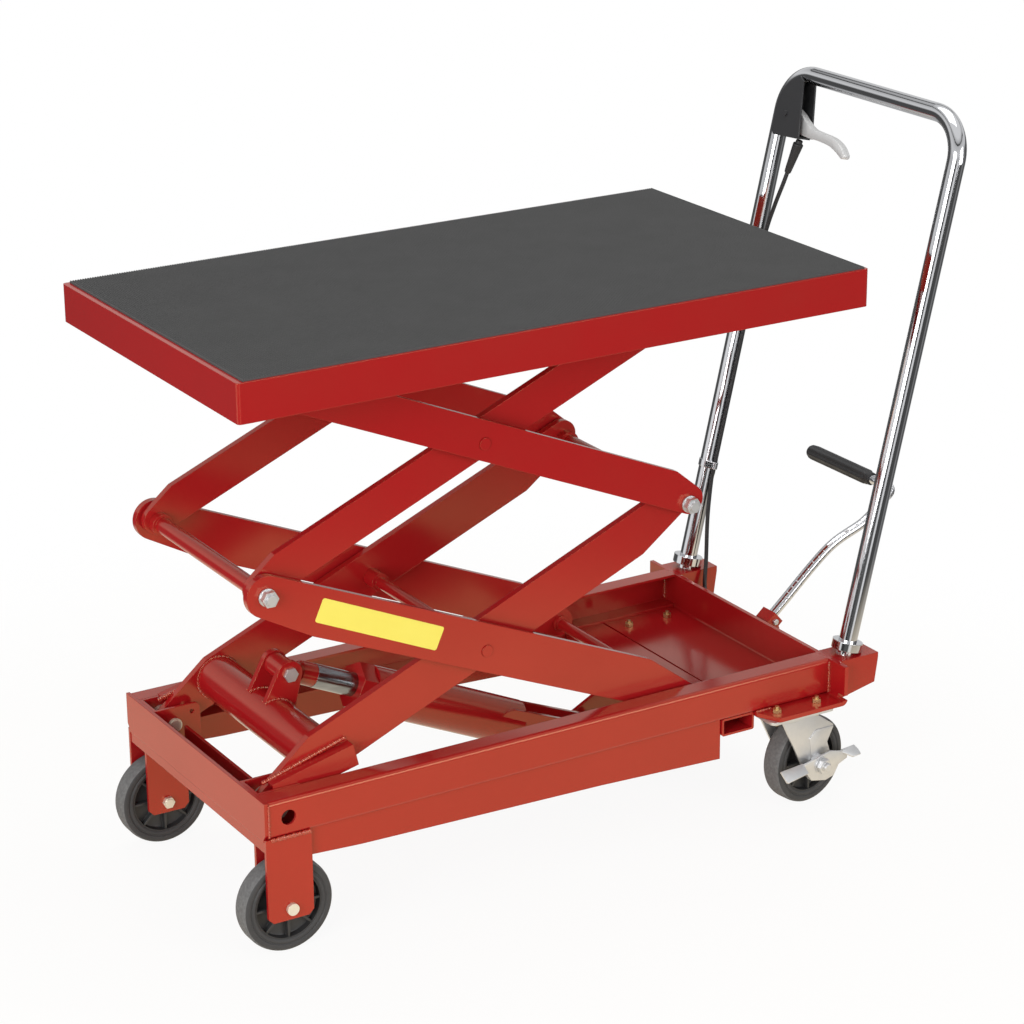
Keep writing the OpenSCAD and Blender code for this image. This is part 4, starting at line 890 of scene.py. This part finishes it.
@dataclass
class VinylStrip:
    """A blank yellow strip on the left lower outer arm."""

    centre: tuple[float, float] = (-348.8, 397.4)
    size: tuple[float, float] = (186.0, 32.0)
    slope: float = -24.1
    face: float = -165.0
    gap: float = 0.02
    thick: float = 0.4
    corner: float = 3.0

    def build(self) -> None:
        """Models the strip as a thin sheet with rounded corners."""
        a, b = self.size[0] / 2, self.size[1] / 2
        bm = plate([(-a, -b), (a, -b), (a, b), (-a, b)], self.gap, self.thick, 0, self.corner)
        turn = Matrix.Rotation(math.radians(self.slope), 4, "Z")
        bm = moved(bm, Matrix.Translation((self.centre[0] * MM, self.centre[1] * MM, 0)) @ turn)
        publish(moved(bm, upright(self.face)), "yellow_strip", [YELLOW_VINYL], "lower_outer")


@dataclass
class Welds:
    """Painted weld beads where the frames' plates meet."""

    lines: dict[str, list[tuple[Vector, Vector, float]]] = field(default_factory=dict)
    arc_bead: float = 1.8
    arc_step: int = 12

    def line(self, body: str, a: tuple[float, float, float], b: tuple[float, float, float],
             radius: float = 2.0) -> None:
        """Adds a straight weld on both sides of the table.

        Args:
            body: body that the weld is on.
            a: first end in millimetres.
            b: other end in millimetres.
            radius: radius of a drop in millimetres.
        """
        for sign in (-1.0, 1.0):
            start, end = (Vector((p[0], sign * p[1], p[2])) * MM for p in (a, b))
            self.lines.setdefault(body, []).append((start, end, radius))

    def arc(self, body: str, centre: tuple[float, float], y: float, radius: float, first: int = 0,
            last: int = 360) -> None:
        """Adds a weld round a bar along Y, on both sides of the table.

        Args:
            body: body that the weld is on.
            centre: centre of the bar (x, z) in millimetres.
            y: place along the bar in millimetres.
            radius: radius of the weld's ring in millimetres.
            first: angle in degrees that it starts at.
            last: angle in degrees that it ends at.
        """
        angles = [math.radians(a) for a in range(first, last + 1, self.arc_step)]
        spots = [(centre[0] + radius * math.cos(a), y, centre[1] + radius * math.sin(a)) for a in angles]
        for a, b in zip(spots, spots[1:]):
            self.line(body, a, b, self.arc_bead)

    def plan(self) -> None:
        """Lists the welds."""
        x, y, low, high = REAR_X - 6.4, RAIL_FACE, RAIL_FOOT, RAIL_TOP
        # Rails to the rear plate, the rear cross tube and the wheel forks
        self.line("base", (x, y + 0.2, low + 3), (x, y + 0.2, high - 5), 2.3)
        self.line("base", (x, y - 5, low + 6), (x, y - 5, high - 6))
        self.line("base", (REAR_X - 126, y + 0.4, low + 0.4), (REAR_X - 104, y + 0.4, low + 0.4))
        self.line("base", (-528, y + 0.4, low - 0.6), (-476, y + 0.4, low - 0.6), 2.9)
        # Pivot brackets, handle sockets, and rails to the front cross member
        self.line("base", (-531, 129.5, low + 6), (-531, 129.5, high - 3))
        for edge in (LEG_Y - 24.5, LEG_Y + 24.5):
            self.line("base", (REAR_X + 0.4, edge, low), (REAR_X + 0.4, edge, high - 2))
        self.line("base", (-531.5, y + 0.2, low + 4), (-531.5, y + 0.2, high - 4), 1.6)
        # Lift tube in the arms, lugs on the tube, stop angles on the arms
        tube_centre = turned(86, 10.8)
        self.arc("lower_inner", tube_centre, 140.4, 30.5)
        for lug_face in (17.6, 26.4):
            self.arc("lower_inner", tube_centre, lug_face, 30.6, 20, 116)
        top, foot = turned(4, 29.2), turned(122, 12.9)
        self.line("lower_inner", (top[0], 152, top[1]), (foot[0], 152, foot[1]), 3.1)

    def build(self) -> None:
        """Models each body's welds as one piece."""
        self.plan()
        for body, lines in self.lines.items():
            beads = [weld_bead(a, b, radius) for a, b, radius in lines]
            publish(joined(*beads), f"{body}_welds", [WELD_ENAMEL], body, (), 80)


@dataclass
class Studio:
    """Floor, light and camera."""

    pixels: float = 1024.0
    sensor: float = 36.0
    focal: float = 3055.59
    eye: tuple[float, float, float] = (-2.02136, -3.26512, 1.83540)
    yaw: float = -0.5415260
    pitch: float = 0.3514888
    roll: float = -0.0080281
    ambient: float = 0.48
    paper: tuple[float, float] = (0.8, 1.5)
    paper_centre: tuple[float, float] = (-0.3, -0.15)
    # Share of the paper's look that is plain white, with no shadow on it
    paper_white: float = 0.92
    # What gloss mirrors round the horizon, by turn from -X through -Y: soft boxes with dark gaps
    strips: tuple[tuple[float, float], ...] = ((0.0, 0.95), (0.02, 0.95), (0.04, 0.04), (0.08, 0.04),
        (0.11, 0.12), (0.17, 0.1), (0.185, 0.95), (0.225, 0.95), (0.24, 0.06), (0.3, 0.08), (0.36, 0.08),
        (0.4, 0.3), (0.44, 0.12), (0.55, 0.1), (0.58, 0.75), (0.64, 0.75), (0.68, 0.12), (0.88, 0.08),
        (0.91, 0.95), (1.0, 0.95))
    # What gloss mirrors overhead, by rise from the horizon up: a pale ceiling with a dark gap
    heights: tuple[tuple[float, float], ...] = ((0.0, 0.08), (0.08, 0.1), (0.17, 0.5), (0.26, 0.8),
        (0.42, 0.7), (0.55, 0.6), (0.57, 0.06), (0.6, 0.06), (0.63, 0.5), (0.75, 0.85), (1.0, 0.85))
    # Rises between which the boxes give way to the ceiling, and to the level below them
    ceiling_edge: tuple[float, float] = (0.06, 0.2)
    ground_edge: tuple[float, float] = (-0.5, -0.4)
    ground_level: float = 0.5

    def camera(self) -> None:
        """Places the camera of the photograph."""
        data = bpy.data.cameras.new("camera")
        data.sensor_fit = "HORIZONTAL"
        data.sensor_width = self.sensor
        data.lens = self.sensor * self.focal / self.pixels
        data.clip_end = 100.0
        back = Vector((math.sin(self.yaw) * math.cos(self.pitch), -math.cos(self.yaw) * math.cos(self.pitch),
            math.sin(self.pitch)))
        right = (-back).cross(Vector((0, 0, 1))).normalized()
        up = right.cross(-back)
        c, s = math.cos(self.roll), math.sin(self.roll)
        across, over = c * right + s * up, c * up - s * right
        camera = bpy.data.objects.new("camera", data)
        turn = Matrix((across, over, back)).transposed().to_4x4()
        camera.matrix_world = Matrix.Translation(self.eye) @ turn
        bpy.context.scene.collection.objects.link(camera)
        bpy.context.scene.camera = camera

    def lamp(self, name: str, place: tuple[float, float, float], target: tuple[float, float, float],
             size: tuple[float, float], power: float) -> None:
        """Adds a soft box.

        Args:
            name: name of the lamp.
            place: where it stands, in metres.
            target: what it points at, in metres.
            size: width and height in metres.
            power: watts.
        """
        data = bpy.data.lights.new(name, "AREA")
        data.shape = "RECTANGLE"
        data.size, data.size_y = size
        data.energy = power
        lamp = bpy.data.objects.new(name, data)
        lamp.matrix_world = along(Vector(place), Vector(place) - Vector(target))
        bpy.context.scene.collection.objects.link(lamp)

    def floor(self) -> None:
        """Lays a round sheet of warm white paper that keeps a faint shadow and fades out at its edge."""
        bm = bmesh.new()
        bmesh.ops.create_circle(bm, cap_ends=True, segments=96, radius=self.paper[1])
        mesh = bpy.data.meshes.new("floor")
        bm.to_mesh(mesh)
        bm.free()
        material = bpy.data.materials.new("white_paper")
        material.use_nodes = True
        tree = material.node_tree
        shader = tree.nodes["Principled BSDF"]
        shader.inputs["Base Color"].default_value = linear("#faf3e6")
        shader.inputs["Roughness"].default_value = 0.9
        shader.inputs["Specular IOR Level"].default_value = 0.0
        path = add(tree, "ShaderNodeLightPath", {})
        seen = add(tree, "ShaderNodeMath", {0: path.outputs["Is Camera Ray"],
            1: path.outputs["Is Glossy Ray"]}, operation="MAXIMUM")
        clear = add(tree, "ShaderNodeMath", {0: seen.outputs[0], 1: path.outputs["Is Transmission Ray"]},
            operation="MAXIMUM")
        share = add(tree, "ShaderNodeMath", {0: clear.outputs[0], 1: self.paper_white}, operation="MULTIPLY")
        tone = add(tree, "ShaderNodeMix", {"Factor": path.outputs["Is Glossy Ray"], "A": (1, 1, 1, 1),
            "B": linear("#fff1d8")}, data_type="RGBA")
        glow = add(tree, "ShaderNodeEmission", {"Color": tone.outputs["Result"], "Strength": 1.0})
        mix = add(tree, "ShaderNodeMixShader", {0: share.outputs[0], 1: shader.outputs[0],
            2: glow.outputs[0]})
        place = add(tree, "ShaderNodeTexCoord", {})
        reach = add(tree, "ShaderNodeVectorMath", {0: place.outputs["Object"], 1: (*self.paper_centre, 0)},
            operation="DISTANCE")
        fade = add(tree, "ShaderNodeMapRange", {"Value": reach.outputs["Value"], "From Min": self.paper[0],
            "From Max": self.paper[1]}, interpolation_type="SMOOTHSTEP")
        gone = add(tree, "ShaderNodeBsdfTransparent", {})
        whole = add(tree, "ShaderNodeMixShader", {0: fade.outputs["Result"], 1: mix.outputs[0],
            2: gone.outputs[0]})
        tree.links.new(whole.outputs[0], tree.nodes["Material Output"].inputs["Surface"])
        mesh.materials.append(material)
        mesh.transform(Matrix.Translation((*self.paper_centre, 0)))
        floor = bpy.data.objects.new("floor", mesh)
        bpy.context.scene.collection.objects.link(floor)

    @staticmethod
    def levels(tree: bpy.types.NodeTree, value: bpy.types.NodeSocket,
               stops: tuple[tuple[float, float], ...]) -> bpy.types.Node:
        """Adds a ramp of grey levels.

        Args:
            tree: the tree to add it to.
            value: the socket it runs along.
            stops: place and level of each stop.

        Returns:
            The ramp.
        """
        ramp = add(tree, "ShaderNodeValToRGB", {"Fac": value})
        marks = ramp.color_ramp.elements
        for i, (at, level) in enumerate(stops):
            mark = marks[0] if i == 0 else marks[-1] if i == len(stops) - 1 else marks.new(at)
            mark.position = at
            mark.color = (level, level, level, 1)
        return ramp

    def sky(self) -> None:
        """Sets a pale surround: white to the camera, and to gloss a dim room with soft boxes round it."""
        world = bpy.data.worlds.new("surround")
        bpy.context.scene.world = world
        world.use_nodes = True
        tree = world.node_tree
        path = add(tree, "ShaderNodeLightPath", {})
        place = add(tree, "ShaderNodeTexCoord", {})
        split = add(tree, "ShaderNodeSeparateXYZ", {0: place.outputs["Generated"]})
        angle = add(tree, "ShaderNodeMath", {0: split.outputs["Y"], 1: split.outputs["X"]},
            operation="ARCTAN2")
        turn = add(tree, "ShaderNodeMapRange", {"Value": angle.outputs[0], "From Min": -math.pi,
            "From Max": math.pi})
        boxes = self.levels(tree, turn.outputs["Result"], self.strips)
        over = self.levels(tree, split.outputs["Z"], self.heights)
        high = add(tree, "ShaderNodeMapRange", {"Value": split.outputs["Z"], "From Min": self.ceiling_edge[0],
            "From Max": self.ceiling_edge[1]}, interpolation_type="SMOOTHSTEP")
        low = add(tree, "ShaderNodeMapRange", {"Value": split.outputs["Z"], "From Min": self.ground_edge[0],
            "From Max": self.ground_edge[1]}, interpolation_type="SMOOTHSTEP")
        below = add(tree, "ShaderNodeMix", {"Factor": low.outputs["Result"], "A": self.ground_level,
            "B": boxes.outputs["Color"]}, data_type="FLOAT")
        room = add(tree, "ShaderNodeMix", {"Factor": high.outputs["Result"], "A": below.outputs["Result"],
            "B": over.outputs["Color"]}, data_type="FLOAT")
        soft = add(tree, "ShaderNodeMix", {"Factor": path.outputs["Is Glossy Ray"], "A": self.ambient,
            "B": room.outputs["Result"]}, data_type="FLOAT")
        clear = add(tree, "ShaderNodeMath", {0: path.outputs["Is Camera Ray"],
            1: path.outputs["Is Transmission Ray"]}, operation="MAXIMUM")
        strength = add(tree, "ShaderNodeMix", {"Factor": clear.outputs[0], "A": soft.outputs["Result"],
            "B": 1.0}, data_type="FLOAT")
        back = tree.nodes["Background"]
        back.inputs["Color"].default_value = (1, 1, 1, 1)
        tree.links.new(strength.outputs["Result"], back.inputs["Strength"])

    def build(self) -> None:
        """Builds the studio."""
        bpy.context.scene.view_settings.view_transform = "Standard"
        self.camera()
        self.floor()
        self.sky()
        self.lamp("key", (-3.4, -2.1, 1.5), (0, 0, 0.5), (2.2, 2.2), 92)
        self.lamp("fill", (1.6, -4.0, 1.4), (0, 0, 0.5), (2.2, 2.0), 52)
        self.lamp("top", (0.3, 0.4, 3.4), (0, 0, 0.4), (2.4, 2.0), 38)


def dress_frame() -> None:
    """Gives every node of the frame its own finish, or that of its material slot."""
    for entry in frame["record"]["subparts"]:
        finish = NODE_FINISH.get(entry["node"], SLOT_FINISH[entry["material_slot"]])
        node = frame["nodes"][entry["node"]]
        if not node.material_slots:
            node.data.materials.append(None)
        for slot in node.material_slots:
            slot.link = "OBJECT"
            slot.material = finish.make()


def main() -> None:
    """Builds the studio and every piece."""
    logging.basicConfig(level=logging.INFO, format="%(name)s %(message)s")
    Studio().build()
    dress_frame()
    RibbedMat().build()
    for side in Side:
        SpokedWheel(f"front_wheel_{side.value}", 30.0, 32.0).build()
        Caster(side).build()
    PedalSet().build()
    ReleaseSet().build()
    CylinderRod().build()
    VinylStrip().build()
    Welds().build()


if __name__ == "__main__":
    main()
